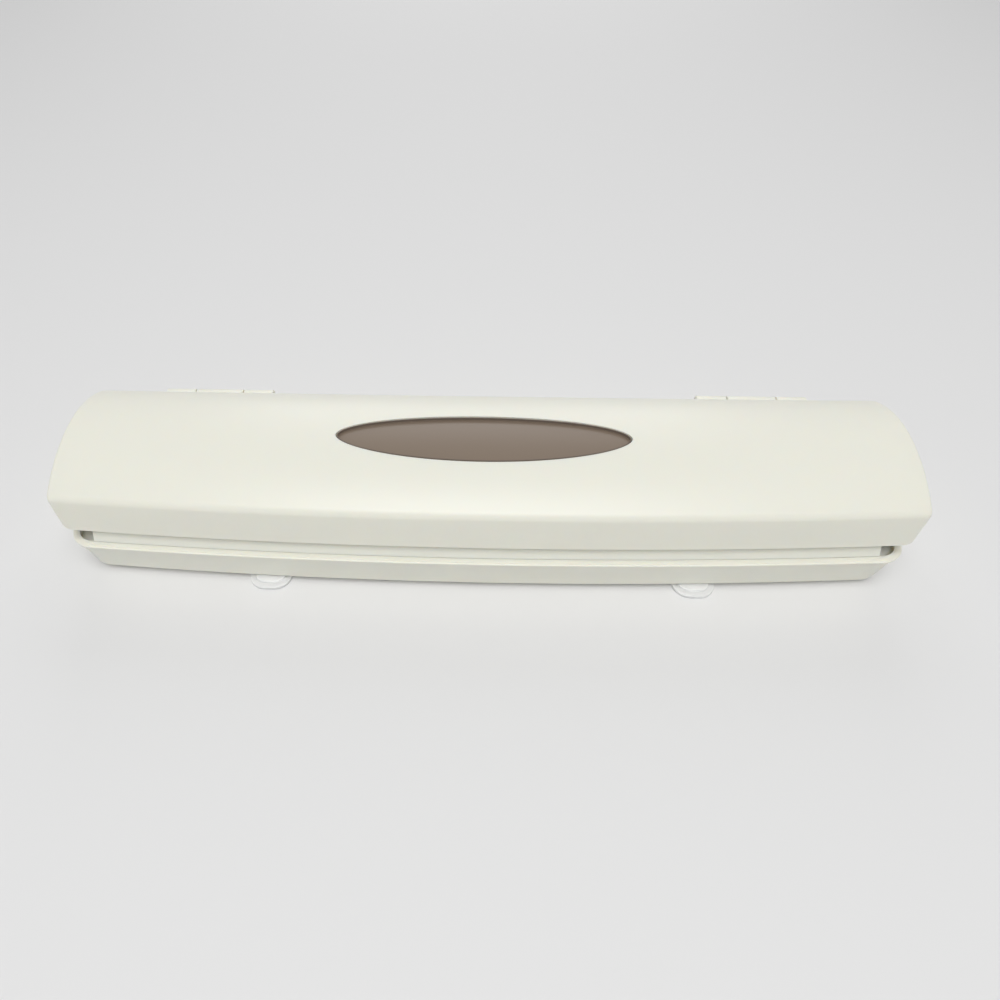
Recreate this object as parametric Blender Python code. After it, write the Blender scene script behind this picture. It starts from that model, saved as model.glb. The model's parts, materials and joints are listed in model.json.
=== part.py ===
"""Cling film dispenser: a boat-shaped base tray with a hinged, domed lid.

Metres, +Z up, +X along the length, the front towards -Y.
The origin is on the floor, under the middle of the object's box.
"""

import math

import bmesh
import bpy
from mathutils import Matrix, Vector

# The roll, and the lid and the base round it
ROLL_LENGTH = 0.300
ROLL_HEIGHT = 0.0315
END_ROOM = 0.0435
LID_DEPTH = 0.0832
LID_WALL = 0.0022
FRONT_BOW = 0.0064
FILM_SLOT_HEIGHT = 0.0077
EDGE_ROOM = 0.0025
CROWN_RISE = 0.0115
CROWN_SETBACK_SHARE = 0.487
CROWN_REAR_RADIUS = 0.060
REAR_CORNER_RADIUS = 0.026
FRONT_FILLET = 0.0045
END_FILLET = 0.0016
LID_CORNER_RADIUS = 0.005

BASE_WALL = 0.002
BASE_END_REACH = 0.0017
UPPER_END_GAP = 0.0011
BASE_BOTTOM_HEIGHT = 0.003
LEDGE_HEIGHT = 0.022
LEDGE_DEPTH = 0.0035
LEDGE_REACH = 0.0032
LEDGE_STEP = 0.0004
LEDGE_SHELF = 0.0026
RIM_THICKNESS = 0.0018
RIM_STEP = 0.0008
BOTTOM_LEAN = 0.0036
BOTTOM_BOW = 0.0072
BOTTOM_END_SETBACK = 0.004
BOTTOM_REAR_SETBACK = 0.0035
BASE_REAR_SETBACK = 0.0006
BASE_CORNER_RADIUS = 0.0109
UPPER_CORNER_RADIUS = 0.010
POCKET_REACH = 0.009
BOTTOM_CORNER_RADIUS = 0.0095
SHOULDER_RUN = 0.0120

# Hinge
KNUCKLE_RADIUS = 0.0032
PIN_RADIUS = 0.0011
HINGE_INSET = 0.001
HINGE_DROP = 0.0197
HINGE_END_SPACE = 0.0562
HINGE_EDGE_DROP = 0.0026
LID_KNUCKLE_LENGTH = 0.0243
BASE_KNUCKLE_LENGTH = 0.0151
KNUCKLE_GAP = 0.0006
WEB_FRONT_SHARE = 0.8

# Film platform, its grip strip and the blade over it
PLATFORM_END_GAP = 0.0077
PLATFORM_RISE = 0.004
PLATFORM_TOP_DEPTH = 0.004
PLATFORM_LEAN = 0.57
PLATFORM_WALL = 0.0018
PLATFORM_RIB_COUNT = 9
GRIP_INSET = 0.006
GRIP_WIDTH = 0.0028
GRIP_THICKNESS = 0.0005
BLADE_OVERHANG = 0.015
BLADE_THICKNESS = 0.0005
BLADE_TOP_DROP = 0.004
BLADE_TIP_RISE = 0.0015
TOOTH_DEPTH = 0.0016
TOOTH_PITCH = 0.003
PEG_RADIUS = 0.0014
PEG_COUNT = 5
PEG_SPREAD_SHARE = 0.92

# Blade carrier and the sprung presser inside it
CARRIER_WALL = 0.0018
CARRIER_LIP = 0.001
CHANNEL_WIDTH = 0.0054
PRESSER_INSET = 0.004
PRESSER_HEAD_WIDTH = 0.0046
PRESSER_HEAD_THICKNESS = 0.0016
PRESSER_STEM_WIDTH = 0.0028
PAD_RISE = 0.0039
PAD_THICKNESS = 0.001
PRESSER_SPRING_LENGTH = 0.0037
PRESSER_SPRING_RADIUS = 0.0017
PRESSER_SPRING_WIRE = 0.0004
PRESSER_SPRING_TURNS = 3
PRESSER_SPRING_SHARES = (-0.75, 0.0, 0.75)
TAB_DEPTH = 0.008
TAB_WIDTH = 0.010
SCREW_RADIUS = 0.0013
SCREW_HEAD_RADIUS = 0.0026
SCREW_HEAD_THICKNESS = 0.0016
SCREW_LENGTH = 0.006
SCREW_DOME_SHARE = 0.7
SCREW_SHARES = (-0.85, -0.3, 0.3, 0.85)
BOSS_RADIUS = 0.0034

# Window
WINDOW_LENGTH = 0.1343
WINDOW_WIDTH = 0.028
WINDOW_SETBACK = 0.0327
WINDOW_RECESS = 0.0006
LENS_THICKNESS = 0.0016
LENS_FLANGE = 0.003
WINDOW_FULLNESS = 0.58

# Roll hubs and their cradles
HUB_FLANGE_RADIUS = 0.0215
HUB_FLANGE_THICKNESS = 0.002
HUB_PLUG_RADIUS = 0.0158
HUB_PLUG_TIP_RADIUS = 0.0135
HUB_PLUG_LENGTH = 0.022
HUB_WALL = 0.0018
TRUNNION_RADIUS = 0.004
TRUNNION_LENGTH = 0.0125
TRUNNION_PLAY = 0.0004
CRADLE_THICKNESS = 0.003
CRADLE_GAP = 0.004
CRADLE_RISE = 0.0085
CRADLE_CORNER = 0.008
CRADLE_FOOT = 0.008

# Return springs and feet
SPRING_INSET = 0.0175
SPRING_SETBACK = 0.0350
SPRING_RADIUS = 0.0032
SPRING_WIRE = 0.0008
SPRING_TURNS = 8
SPRING_TOP_HEIGHT = 0.031
SPRING_PEG_RADIUS = 0.002
SPRING_PEG_HEIGHT = 0.006
COIL_GAP = 0.00045
POST_RADIUS = 0.0032
FOOT_END_SPACE = 0.092
FOOT_WIDTH = 0.0202
FOOT_DEPTH = 0.020
FOOT_CORNER = 0.008
FOOT_REACH = 0.006
FOOT_REAR_INSET = 0.004
FOOT_FLANGE = 0.0018
FOOT_BOSS_INSET = 0.0028
FOOT_STUD_SETBACK = 0.0118
FOOT_STUD_RADIUS = 0.0018
FOOT_STUD_HEAD_RADIUS = 0.0027
FOOT_STUD_HEAD_THICKNESS = 0.0012

# Clearances and fineness
FIT_GAP = 0.0003
OVERRUN = 0.02
LENGTH_STEPS = 20
ARC_STEPS = 7
CORNER_STEPS = 6
END_STEPS = 3
WINDOW_STEPS = 24
WINDOW_ACROSS = 5
ROUND_SIDES = 24
STUD_SIDES = 16
SMALL_SIDES = 12
COIL_STEPS = 10
SMOOTH_ANGLE = math.radians(35)
LEAST_MITER = 0.3

# Lengths worked out from the sizes
LID_LENGTH = ROLL_LENGTH + 2 * END_ROOM
LID_HALF = LID_LENGTH / 2
BASE_HALF = LID_HALF + BASE_END_REACH
UPPER_HALF = LID_HALF - LID_WALL - UPPER_END_GAP
PLATFORM_HALF = UPPER_HALF - PLATFORM_END_GAP
BLADE_LENGTH = ROLL_LENGTH + 2 * BLADE_OVERHANG
PRESSER_LENGTH = BLADE_LENGTH - 2 * PRESSER_INSET
HINGE_SPACING = LID_LENGTH - 2 * HINGE_END_SPACE
FOOT_SPACING = LID_LENGTH - 2 * FOOT_END_SPACE
CROWN_SETBACK = LID_DEPTH * CROWN_SETBACK_SHARE

# Heights, from the floor up to the crown and down again to the hinge
FLOOR_Z = BASE_BOTTOM_HEIGHT + BASE_WALL
SHELF_HEIGHT = LEDGE_HEIGHT - LEDGE_STEP
LIP_HEIGHT = LEDGE_HEIGHT + FILM_SLOT_HEIGHT
PLATFORM_HEIGHT = LIP_HEIGHT + PLATFORM_RISE
PAD_HEIGHT = PLATFORM_HEIGHT + PAD_RISE
CARRIER_LIP_HEIGHT = PAD_HEIGHT + PAD_THICKNESS + FIT_GAP
PRESSER_HEAD_Z = CARRIER_LIP_HEIGHT + CARRIER_LIP + FIT_GAP
PRESSER_TOP_Z = PRESSER_HEAD_Z + PRESSER_HEAD_THICKNESS
CHANNEL_TOP_Z = PRESSER_TOP_Z + PRESSER_SPRING_LENGTH + 2 * FIT_GAP
CARRIER_TOP_HEIGHT = CHANNEL_TOP_Z + CARRIER_WALL
TAB_Z = CARRIER_TOP_HEIGHT - CARRIER_WALL
BLADE_TOP_HEIGHT = CARRIER_TOP_HEIGHT - BLADE_TOP_DROP
BLADE_TIP_HEIGHT = LIP_HEIGHT + BLADE_TIP_RISE
EDGE_HEIGHT = CARRIER_TOP_HEIGHT + EDGE_ROOM
CROWN_HEIGHT = EDGE_HEIGHT + CROWN_RISE
HINGE_HEIGHT = CROWN_HEIGHT - HINGE_DROP
REAR_EDGE_HEIGHT = HINGE_HEIGHT - HINGE_EDGE_DROP
BASE_REAR_HEIGHT = HINGE_HEIGHT - KNUCKLE_RADIUS - FIT_GAP
CRADLE_HEIGHT = ROLL_HEIGHT + CRADLE_RISE

# Places from front to rear; the object's box is centred on y = 0
FOOT_BOW = BOTTOM_BOW * (1 - (FOOT_SPACING / LID_LENGTH) ** 2)
FRONT_EXTENT = max(LEDGE_REACH + FRONT_BOW, LEDGE_REACH - BOTTOM_LEAN + FOOT_BOW + FOOT_REACH)
DEPTH = FRONT_EXTENT + LID_DEPTH - HINGE_INSET + KNUCKLE_RADIUS
FRONT_Y = FRONT_EXTENT - DEPTH / 2
REAR_Y = FRONT_Y + LID_DEPTH
HINGE_Y = REAR_Y - HINGE_INSET
CROWN_Y = FRONT_Y + CROWN_SETBACK
LEDGE_FRONT_Y = FRONT_Y - LEDGE_REACH
LEDGE_BACK_Y = LEDGE_FRONT_Y + LEDGE_DEPTH
BOTTOM_FRONT_Y = LEDGE_FRONT_Y + BOTTOM_LEAN
POCKET_Y = FRONT_Y + POCKET_REACH
BASE_REAR_Y = REAR_Y - BASE_REAR_SETBACK
BAY_REAR_Y = BASE_REAR_Y - RIM_STEP - BASE_WALL - BOTTOM_REAR_SETBACK
PLATFORM_FRONT_Y = LEDGE_BACK_Y + PLATFORM_LEAN * (PLATFORM_HEIGHT - LEDGE_HEIGHT)
PLATFORM_BACK_Y = PLATFORM_FRONT_Y + PLATFORM_TOP_DEPTH
LID_FRONT_INNER_Y = FRONT_Y + LID_WALL
BLADE_Y = LID_FRONT_INNER_Y + FIT_GAP
CARRIER_FRONT_Y = BLADE_Y + BLADE_THICKNESS + FIT_GAP
CHANNEL_FRONT_Y = CARRIER_FRONT_Y + CARRIER_WALL
CHANNEL_MIDDLE_Y = CHANNEL_FRONT_Y + CHANNEL_WIDTH / 2
CARRIER_BACK_Y = CHANNEL_FRONT_Y + CHANNEL_WIDTH + CARRIER_WALL
SCREW_Y = CARRIER_BACK_Y + TAB_DEPTH - BOSS_RADIUS
WINDOW_Y = FRONT_Y + WINDOW_SETBACK
ROLL_Y = (PLATFORM_BACK_Y + BAY_REAR_Y) / 2
SPRING_Y = FRONT_Y + SPRING_SETBACK

# Places along the length
SPRING_X = LID_HALF - SPRING_INSET
CRADLE_X = ROLL_LENGTH / 2 + HUB_FLANGE_THICKNESS + CRADLE_GAP
SCREW_PLACES = [share * BLADE_LENGTH / 2 for share in SCREW_SHARES]
PRESSER_SPRING_PLACES = [share * PRESSER_LENGTH / 2 for share in PRESSER_SPRING_SHARES]


def clear_scene():
    for obj in list(bpy.data.objects):
        bpy.data.objects.remove(obj, do_unlink=True)


def make_material(name, color, roughness, metallic=0.0, alpha=1.0):
    material = bpy.data.materials.new(name)
    material.use_nodes = True
    shader = material.node_tree.nodes["Principled BSDF"]
    shader.inputs["Base Color"].default_value = (*color, 1.0)
    shader.inputs["Roughness"].default_value = roughness
    shader.inputs["Metallic"].default_value = metallic
    shader.inputs["Alpha"].default_value = alpha
    return material


# Outlines

def circle_points(middle, radius, start, end, steps):
    """Points on an arc, from one angle to the other, both ends included."""
    points = []
    for step in range(steps + 1):
        angle = start + (end - start) * step / steps
        points.append((middle[0] + radius * math.cos(angle), middle[1] + radius * math.sin(angle)))
    return points


def rounded_corners(corners, radius):
    """A closed outline with each corner replaced by an arc."""
    outline = []
    count = len(corners)
    for index, corner in enumerate(corners):
        here = Vector(corner)
        before = (Vector(corners[index - 1]) - here).normalized()
        after = (Vector(corners[(index + 1) % count]) - here).normalized()
        half_angle = before.angle(after) / 2
        middle = here + (before + after).normalized() * (radius / math.sin(half_angle))
        tangent = radius / math.tan(half_angle)
        first = here + before * tangent - middle
        turn = first.angle_signed(here + after * tangent - middle)
        for step in range(CORNER_STEPS + 1):
            spoke = first.copy()
            spoke.rotate(Matrix.Rotation(-turn * step / CORNER_STEPS, 2))
            outline.append(tuple(middle + spoke))
    return outline


def inset_outline(outline, distance):
    """The outline moved towards its own inside; it runs anticlockwise."""
    moved = []
    count = len(outline)
    for index in range(count):
        here = Vector(outline[index])
        along_in = (here - Vector(outline[index - 1])).normalized()
        along_out = (Vector(outline[(index + 1) % count]) - here).normalized()
        normal_in = Vector((-along_in.y, along_in.x))
        normal_out = Vector((-along_out.y, along_out.x))
        miter = (normal_in + normal_out).normalized()
        moved.append(tuple(here + miter * (distance / max(miter.dot(normal_in), LEAST_MITER))))
    return moved


def lid_arcs(wall=0.0):
    """The lid's crown in side view as (middle, radius, slopes), front and rear, less a wall."""
    rise = CROWN_HEIGHT - EDGE_HEIGHT
    front_radius = (CROWN_SETBACK ** 2 + rise ** 2) / (2 * rise)
    front_slope = math.asin(CROWN_SETBACK / front_radius)
    corner_y = REAR_Y - REAR_CORNER_RADIUS
    between = CROWN_REAR_RADIUS - REAR_CORNER_RADIUS
    join_slope = math.asin((corner_y - CROWN_Y) / between)
    corner_z = CROWN_HEIGHT - CROWN_REAR_RADIUS + between * math.cos(join_slope)
    return [
        ((CROWN_Y, CROWN_HEIGHT - front_radius), front_radius - wall, (-front_slope, 0.0)),
        ((CROWN_Y, CROWN_HEIGHT - CROWN_REAR_RADIUS), CROWN_REAR_RADIUS - wall, (0.0, join_slope)),
        ((corner_y, corner_z), REAR_CORNER_RADIUS - wall, (join_slope, math.pi / 2)),
    ]


def crown_height(y, wall=0.0):
    """Height of the lid's skin at y, before the front is bowed."""
    front, rear, corner = lid_arcs(wall)
    middle, radius, slopes = front
    if y > CROWN_Y:
        middle, radius, slopes = rear
        if y > middle[0] + radius * math.sin(slopes[1]):
            middle, radius, slopes = corner
    reach = y - middle[0]
    return middle[1] + math.sqrt(max(radius ** 2 - reach ** 2, 0.0))


def lid_outline(wall=0.0, drop=0.0):
    """Closed side view of the lid, less a wall; drop carries the open side further down."""
    front, rear, corner = lid_arcs(wall)
    front_y = FRONT_Y + wall
    end_reach = front_y - front[0][0]
    edge_z = front[0][1] + math.sqrt(front[1] ** 2 - end_reach ** 2)
    fillet = FRONT_FILLET - wall
    slope_angle = math.asin(-end_reach / front[1])
    tangent = fillet * math.tan((math.pi / 2 - slope_angle) / 2)
    fillet_end = (front_y, edge_z - tangent)
    middle = (front_y + fillet, edge_z - tangent)
    fillet_points = circle_points(middle, fillet, math.pi / 2 + slope_angle, math.pi, ARC_STEPS)

    rear_drop = corner[0][1] - REAR_EDGE_HEIGHT
    last_angle = math.asin(-rear_drop / corner[1])
    points = circle_points(corner[0], corner[1], last_angle, math.pi / 2 - corner[2][0], ARC_STEPS + 2)
    points += circle_points(rear[0], rear[1], math.pi / 2 - rear[2][1], math.pi / 2, ARC_STEPS)[1:]
    start_angle = math.pi / 2 + slope_angle - math.atan2(tangent, front[1])
    points += circle_points(front[0], front[1], math.pi / 2, start_angle, ARC_STEPS + 3)[1:]
    points += fillet_points[1:-1]
    points.append(fillet_end)
    points.append((front_y, LIP_HEIGHT - drop))
    if drop:
        points.append((points[0][0], REAR_EDGE_HEIGHT - drop))
    return points


def bow_shift(x, y, bow=FRONT_BOW):
    """How far the bowed front carries a point forward; the rear wall stays straight."""
    share = x / LID_HALF
    reach = min(max((REAR_Y - y) / LID_DEPTH, 0.0), 1.0)
    return -bow * (1.0 - share * share) * reach


# Solids

def finish_mesh(bm, name, material, smooth=True):
    bmesh.ops.recalc_face_normals(bm, faces=bm.faces)
    mesh = bpy.data.meshes.new(name)
    bm.to_mesh(mesh)
    bm.free()
    if smooth:
        mesh.shade_smooth()
        mesh.set_sharp_from_angle(angle=SMOOTH_ANGLE)
    obj = bpy.data.objects.new(name, mesh)
    bpy.context.scene.collection.objects.link(obj)
    if material:
        mesh.materials.append(material)
    return obj


def loft(name, rings, material=None):
    """A closed solid through rings of 3-D points, all with the same count."""
    bm = bmesh.new()
    vert_rings = [[bm.verts.new(point) for point in ring] for ring in rings]
    for here, there in zip(vert_rings, vert_rings[1:]):
        count = len(here)
        for index in range(count):
            after = (index + 1) % count
            bm.faces.new((here[index], here[after], there[after], there[index]))
    bm.faces.new(vert_rings[0])
    bm.faces.new(vert_rings[-1])
    return finish_mesh(bm, name, material)


def stations(half, steps=LENGTH_STEPS):
    return [-half + 2 * half * step / steps for step in range(steps + 1)]


def bowed_bar(name, outline, half, material=None, steps=LENGTH_STEPS):
    """The (y, z) outline carried along the bowed front."""
    rings = []
    for x in stations(half, steps):
        rings.append([(x, y + bow_shift(x, y), z) for y, z in outline])
    return loft(name, rings, material)


def prism(name, outline, axis, low, high, material=None):
    """A flat outline pushed along X, Y or Z; it holds the other two coordinates in order."""
    place = {
        "X": lambda a, b, c: (c, a, b),
        "Y": lambda a, b, c: (a, c, b),
        "Z": lambda a, b, c: (a, b, c),
    }[axis]
    return loft(name, [[place(a, b, c) for a, b in outline] for c in (low, high)], material)


def box(name, low, high, material=None):
    outline = [(low[0], low[1]), (high[0], low[1]), (high[0], high[1]), (low[0], high[1])]
    return prism(name, outline, "Z", low[2], high[2], material)


def cylinder(name, middle, radius, axis, low, high, sides=ROUND_SIDES, material=None):
    outline = circle_points(middle, radius, 0, 2 * math.pi, sides)[:-1]
    return prism(name, outline, axis, low, high, material)


def turned(name, profile, material, axis_y, axis_z, sides=ROUND_SIDES):
    """A closed (x, radius) profile spun about a line along X."""
    bm = bmesh.new()
    points = [bm.verts.new((x, 0, radius)) for x, radius in profile]
    edges = [bm.edges.new((points[i - 1], points[i])) for i in range(len(points))]
    bmesh.ops.spin(bm, geom=points + edges, cent=(0, 0, 0), axis=(1, 0, 0),
                   angle=2 * math.pi, steps=sides, use_merge=True)
    obj = finish_mesh(bm, name, material)
    obj.location = (0, axis_y, axis_z)
    return obj


def combine(target, tool, operation):
    """One EXACT Boolean; the tool stays as a hidden wire."""
    modifier = target.modifiers.new(operation.title(), "BOOLEAN")
    modifier.operation = operation
    modifier.object = tool
    modifier.solver = "EXACT"
    tool.hide_render = True
    tool.display_type = "WIRE"


def coil(name, middle, radius, wire, turns, low, high, material):
    """A compression spring: one helix that runs flat into each end."""
    count = turns * COIL_STEPS
    curve = bpy.data.curves.new(name, "CURVE")
    curve.dimensions = "3D"
    curve.bevel_depth = wire / 2
    curve.bevel_resolution = 1
    curve.use_fill_caps = True
    spline = curve.splines.new("POLY")
    spline.points.add(count)
    flat = 1.0 / turns
    closed_rise = wire + COIL_GAP
    base_z = low + wire / 2
    top_z = high - wire / 2
    open_share = 1.0 - 2 * flat
    points = []
    for index in range(count + 1):
        share = index / count
        if share < flat:
            z = base_z + closed_rise * share / flat
        elif share > 1.0 - flat:
            z = top_z - closed_rise * (1.0 - share) / flat
        else:
            climb = (share - flat) / open_share
            z = base_z + closed_rise + (top_z - base_z - 2 * closed_rise) * climb
        angle = 2 * math.pi * turns * share
        x = middle[0] + radius * math.cos(angle)
        y = middle[1] + radius * math.sin(angle)
        points.append(Vector((x, y, z)))
        spline.points[index].co = (x, y, z, 1.0)
    steps_before_last = count + 1 - COIL_STEPS
    pitch = min((points[i + COIL_STEPS] - points[i]).length for i in range(steps_before_last))
    print(name, "least gap between turns in mm:", round((pitch - wire) * 1000, 3))
    obj = bpy.data.objects.new(name, curve)
    bpy.context.scene.collection.objects.link(obj)
    curve.materials.append(material)
    return obj


# Base pieces

def plan_ring(half, front_y, rear_y, corner, z, bow):
    """A rounded rectangle seen from above, its front edge bowed forward."""
    ring = []
    for x in stations(half - corner):
        ring.append((x, front_y, z))
    for centre_x, centre_y, start in (
        (half - corner, front_y + corner, -math.pi / 2),
        (half - corner, rear_y - corner, 0.0),
        (corner - half, rear_y - corner, math.pi / 2),
        (corner - half, front_y + corner, math.pi),
    ):
        arc = circle_points((centre_x, centre_y), corner, start, start + math.pi / 2, CORNER_STEPS)
        if start == -math.pi / 2:
            arc = arc[1:]
        if start == math.pi:
            arc = arc[:-1]
        ring += [(x, y, z) for x, y in arc]
    return [(x, y + bow_shift(x, y, bow), z) for x, y, z in ring]


def base_ring(z, out=0.0):
    """The hull's plan at a height, moved out by a distance, or in if it is negative."""
    climb = min((z - BASE_BOTTOM_HEIGHT) / (LEDGE_HEIGHT - BASE_BOTTOM_HEIGHT), 1.0)
    half = BASE_HALF - RIM_STEP - BOTTOM_END_SETBACK * (1 - climb)
    front = LEDGE_FRONT_Y + RIM_STEP
    front += (BOTTOM_FRONT_Y - front) * (1 - climb)
    rear = BASE_REAR_Y - RIM_STEP - BOTTOM_REAR_SETBACK * (1 - climb)
    corner = BOTTOM_CORNER_RADIUS + (BASE_CORNER_RADIUS - BOTTOM_CORNER_RADIUS) * climb
    bow = BOTTOM_BOW + (FRONT_BOW - BOTTOM_BOW) * climb
    return plan_ring(half + out, front - out, rear + out, corner + out, z, bow)


def upper_ring(z, out=0.0):
    """The plan of the walls that rise from the hull's rim, inside the lid."""
    front = LEDGE_FRONT_Y + RIM_STEP - out
    rear = BASE_REAR_Y - RIM_STEP + out
    return plan_ring(UPPER_HALF + out, front, rear, UPPER_CORNER_RADIUS + out, z, FRONT_BOW)


def pocket_ring(z):
    """The plan of the hole behind the rim's front, which opens the shelf at both corners."""
    inset = RIM_STEP + BASE_WALL + FIT_GAP + LEDGE_STEP
    corner = BASE_CORNER_RADIUS - BASE_WALL - FIT_GAP
    ring = plan_ring(BASE_HALF - inset, LEDGE_FRONT_Y + inset, REAR_Y, corner, z, FRONT_BOW)
    return [point for point in ring if point[1] < POCKET_Y]


def shoulder_outline():
    """Side view of what is cut off above the tray's front: the ledge, then a rise to the rear."""
    start = POCKET_Y
    rise = BASE_REAR_HEIGHT - LEDGE_HEIGHT
    points = [(LEDGE_FRONT_Y - OVERRUN, LEDGE_HEIGHT)]
    for step in range(ARC_STEPS + 1):
        share = step / ARC_STEPS
        eased = share * share * (3 - 2 * share)
        points.append((start + SHOULDER_RUN * share, LEDGE_HEIGHT + rise * eased))
    points.append((REAR_Y + OVERRUN, BASE_REAR_HEIGHT))
    points.append((REAR_Y + OVERRUN, BASE_REAR_HEIGHT + OVERRUN))
    points.append((LEDGE_FRONT_Y - OVERRUN, BASE_REAR_HEIGHT + OVERRUN))
    return points


def make_base_tray(material):
    lip_low = LEDGE_HEIGHT - RIM_THICKNESS
    rim_top = LEDGE_HEIGHT - LEDGE_STEP
    rim_low = rim_top - BASE_WALL
    top = BASE_REAR_HEIGHT + OVERRUN
    rings = [
        base_ring(BASE_BOTTOM_HEIGHT, -RIM_STEP),
        base_ring(BASE_BOTTOM_HEIGHT + RIM_STEP),
        base_ring(lip_low),
        base_ring(lip_low, RIM_STEP),
        base_ring(rim_top, RIM_STEP),
        upper_ring(rim_top),
        upper_ring(top),
    ]
    tray = loft("base_tray", rings, material)
    inner = [
        base_ring(FLOOR_Z, -BASE_WALL),
        [(x, y, rim_low) for x, y, _ in base_ring(LEDGE_HEIGHT, -BASE_WALL)],
        upper_ring(rim_low, -BASE_WALL - FIT_GAP),
        upper_ring(top + OVERRUN, -BASE_WALL - FIT_GAP),
    ]
    combine(tray, loft("tray_hollow", inner), "DIFFERENCE")
    combine(tray, bowed_bar("shoulder_cut", shoulder_outline(), BASE_HALF + OVERRUN), "DIFFERENCE")
    pocket = [pocket_ring(z) for z in (rim_low - BASE_WALL, LEDGE_HEIGHT + OVERRUN)]
    combine(tray, loft("corner_pockets", pocket), "DIFFERENCE")

    shelf_front = LEDGE_FRONT_Y + RIM_STEP + BASE_WALL / 2
    shelf = [
        (shelf_front, SHELF_HEIGHT - BASE_WALL),
        (LEDGE_BACK_Y + LEDGE_SHELF, SHELF_HEIGHT - BASE_WALL),
        (LEDGE_BACK_Y + LEDGE_SHELF, SHELF_HEIGHT),
        (shelf_front, SHELF_HEIGHT),
    ]
    combine(tray, bowed_bar("ledge_shelf", shelf, PLATFORM_HALF), "UNION")
    for side in (-1, 1):
        for edge in (-1, 1):
            add_base_knuckle(tray, side, edge)
        peg = cylinder("spring_peg", (side * SPRING_X, SPRING_Y), SPRING_PEG_RADIUS, "Z",
                       FLOOR_Z - BASE_WALL / 2, FLOOR_Z + SPRING_PEG_HEIGHT, SMALL_SIDES)
        combine(tray, peg, "UNION")
    for x, _, stud_y in foot_places():
        hole = cylinder("stud_hole", (x, stud_y), FOOT_STUD_RADIUS + FIT_GAP, "Z",
                        BASE_BOTTOM_HEIGHT - BASE_WALL, FLOOR_Z + BASE_WALL, STUD_SIDES)
        combine(tray, hole, "DIFFERENCE")
    return tray


def knuckle_places(side):
    """Low and high x of the left, middle and right knuckle of one hinge."""
    middle = side * HINGE_SPACING / 2
    inner = LID_KNUCKLE_LENGTH / 2
    outer = inner + KNUCKLE_GAP
    far = outer + BASE_KNUCKLE_LENGTH
    return [(middle - far, middle - outer), (middle - inner, middle + inner),
            (middle + outer, middle + far)]


def bore_knuckle(piece, low, high):
    """The pin's hole through one knuckle."""
    bore = cylinder("pin_bore", (HINGE_Y, HINGE_HEIGHT), PIN_RADIUS + FIT_GAP, "X",
                    low - KNUCKLE_GAP / 2, high + KNUCKLE_GAP / 2)
    combine(piece, bore, "DIFFERENCE")


def add_base_knuckle(tray, side, edge):
    low, high = knuckle_places(side)[0 if edge < 0 else 2]
    barrel = cylinder("base_knuckle", (HINGE_Y, HINGE_HEIGHT), KNUCKLE_RADIUS, "X", low, high)
    combine(tray, barrel, "UNION")
    wall_y = BASE_REAR_Y - RIM_STEP - BASE_WALL / 2
    web = [
        (wall_y, BASE_REAR_HEIGHT - KNUCKLE_RADIUS * 2),
        (HINGE_Y + KNUCKLE_RADIUS / 2, HINGE_HEIGHT - KNUCKLE_RADIUS / 2),
        (HINGE_Y, HINGE_HEIGHT),
        (HINGE_Y - KNUCKLE_RADIUS / 3, HINGE_HEIGHT - KNUCKLE_RADIUS * WEB_FRONT_SHARE),
        (wall_y, BASE_REAR_HEIGHT - FIT_GAP),
    ]
    combine(tray, prism("knuckle_web", web, "X", low, high), "UNION")
    bore_knuckle(tray, low, high)


def make_hinge_pin(side, material):
    places = knuckle_places(side)
    name = "hinge_pin_left" if side < 0 else "hinge_pin_right"
    return cylinder(name, (HINGE_Y, HINGE_HEIGHT), PIN_RADIUS, "X",
                    places[0][0] + FIT_GAP, places[2][1] - FIT_GAP, STUD_SIDES, material)


def make_film_platform(material):
    """The bar that the film runs over: its front sits on the shelf, its rear wall on the floor."""
    seat = SHELF_HEIGHT + FIT_GAP
    inner_top = PLATFORM_HEIGHT - PLATFORM_WALL
    inner_back = PLATFORM_BACK_Y - PLATFORM_WALL
    outline = [
        (LEDGE_BACK_Y, seat),
        (LEDGE_BACK_Y + PLATFORM_WALL, seat),
        (PLATFORM_FRONT_Y + PLATFORM_WALL / 2, inner_top),
        (inner_back, inner_top),
        (inner_back, FLOOR_Z + FIT_GAP),
        (PLATFORM_BACK_Y, FLOOR_Z + FIT_GAP),
        (PLATFORM_BACK_Y, PLATFORM_HEIGHT),
        (PLATFORM_FRONT_Y, PLATFORM_HEIGHT),
    ]
    platform = bowed_bar("film_platform", outline, PLATFORM_HALF, material)
    inset = PLATFORM_WALL / 2
    rib = [
        (LEDGE_BACK_Y + inset, seat),
        (inner_back + inset, seat),
        (inner_back + inset, inner_top + inset),
        (PLATFORM_FRONT_Y + inset, inner_top + inset),
    ]
    for x in stations(PLATFORM_HALF - inset - FIT_GAP, PLATFORM_RIB_COUNT - 1):
        low_x = x - inset
        high_x = x + inset
        ring_low = [(low_x, y + bow_shift(low_x, y), z) for y, z in rib]
        ring_high = [(high_x, y + bow_shift(high_x, y), z) for y, z in rib]
        combine(platform, loft("platform_rib", [ring_low, ring_high]), "UNION")
    return platform


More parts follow.
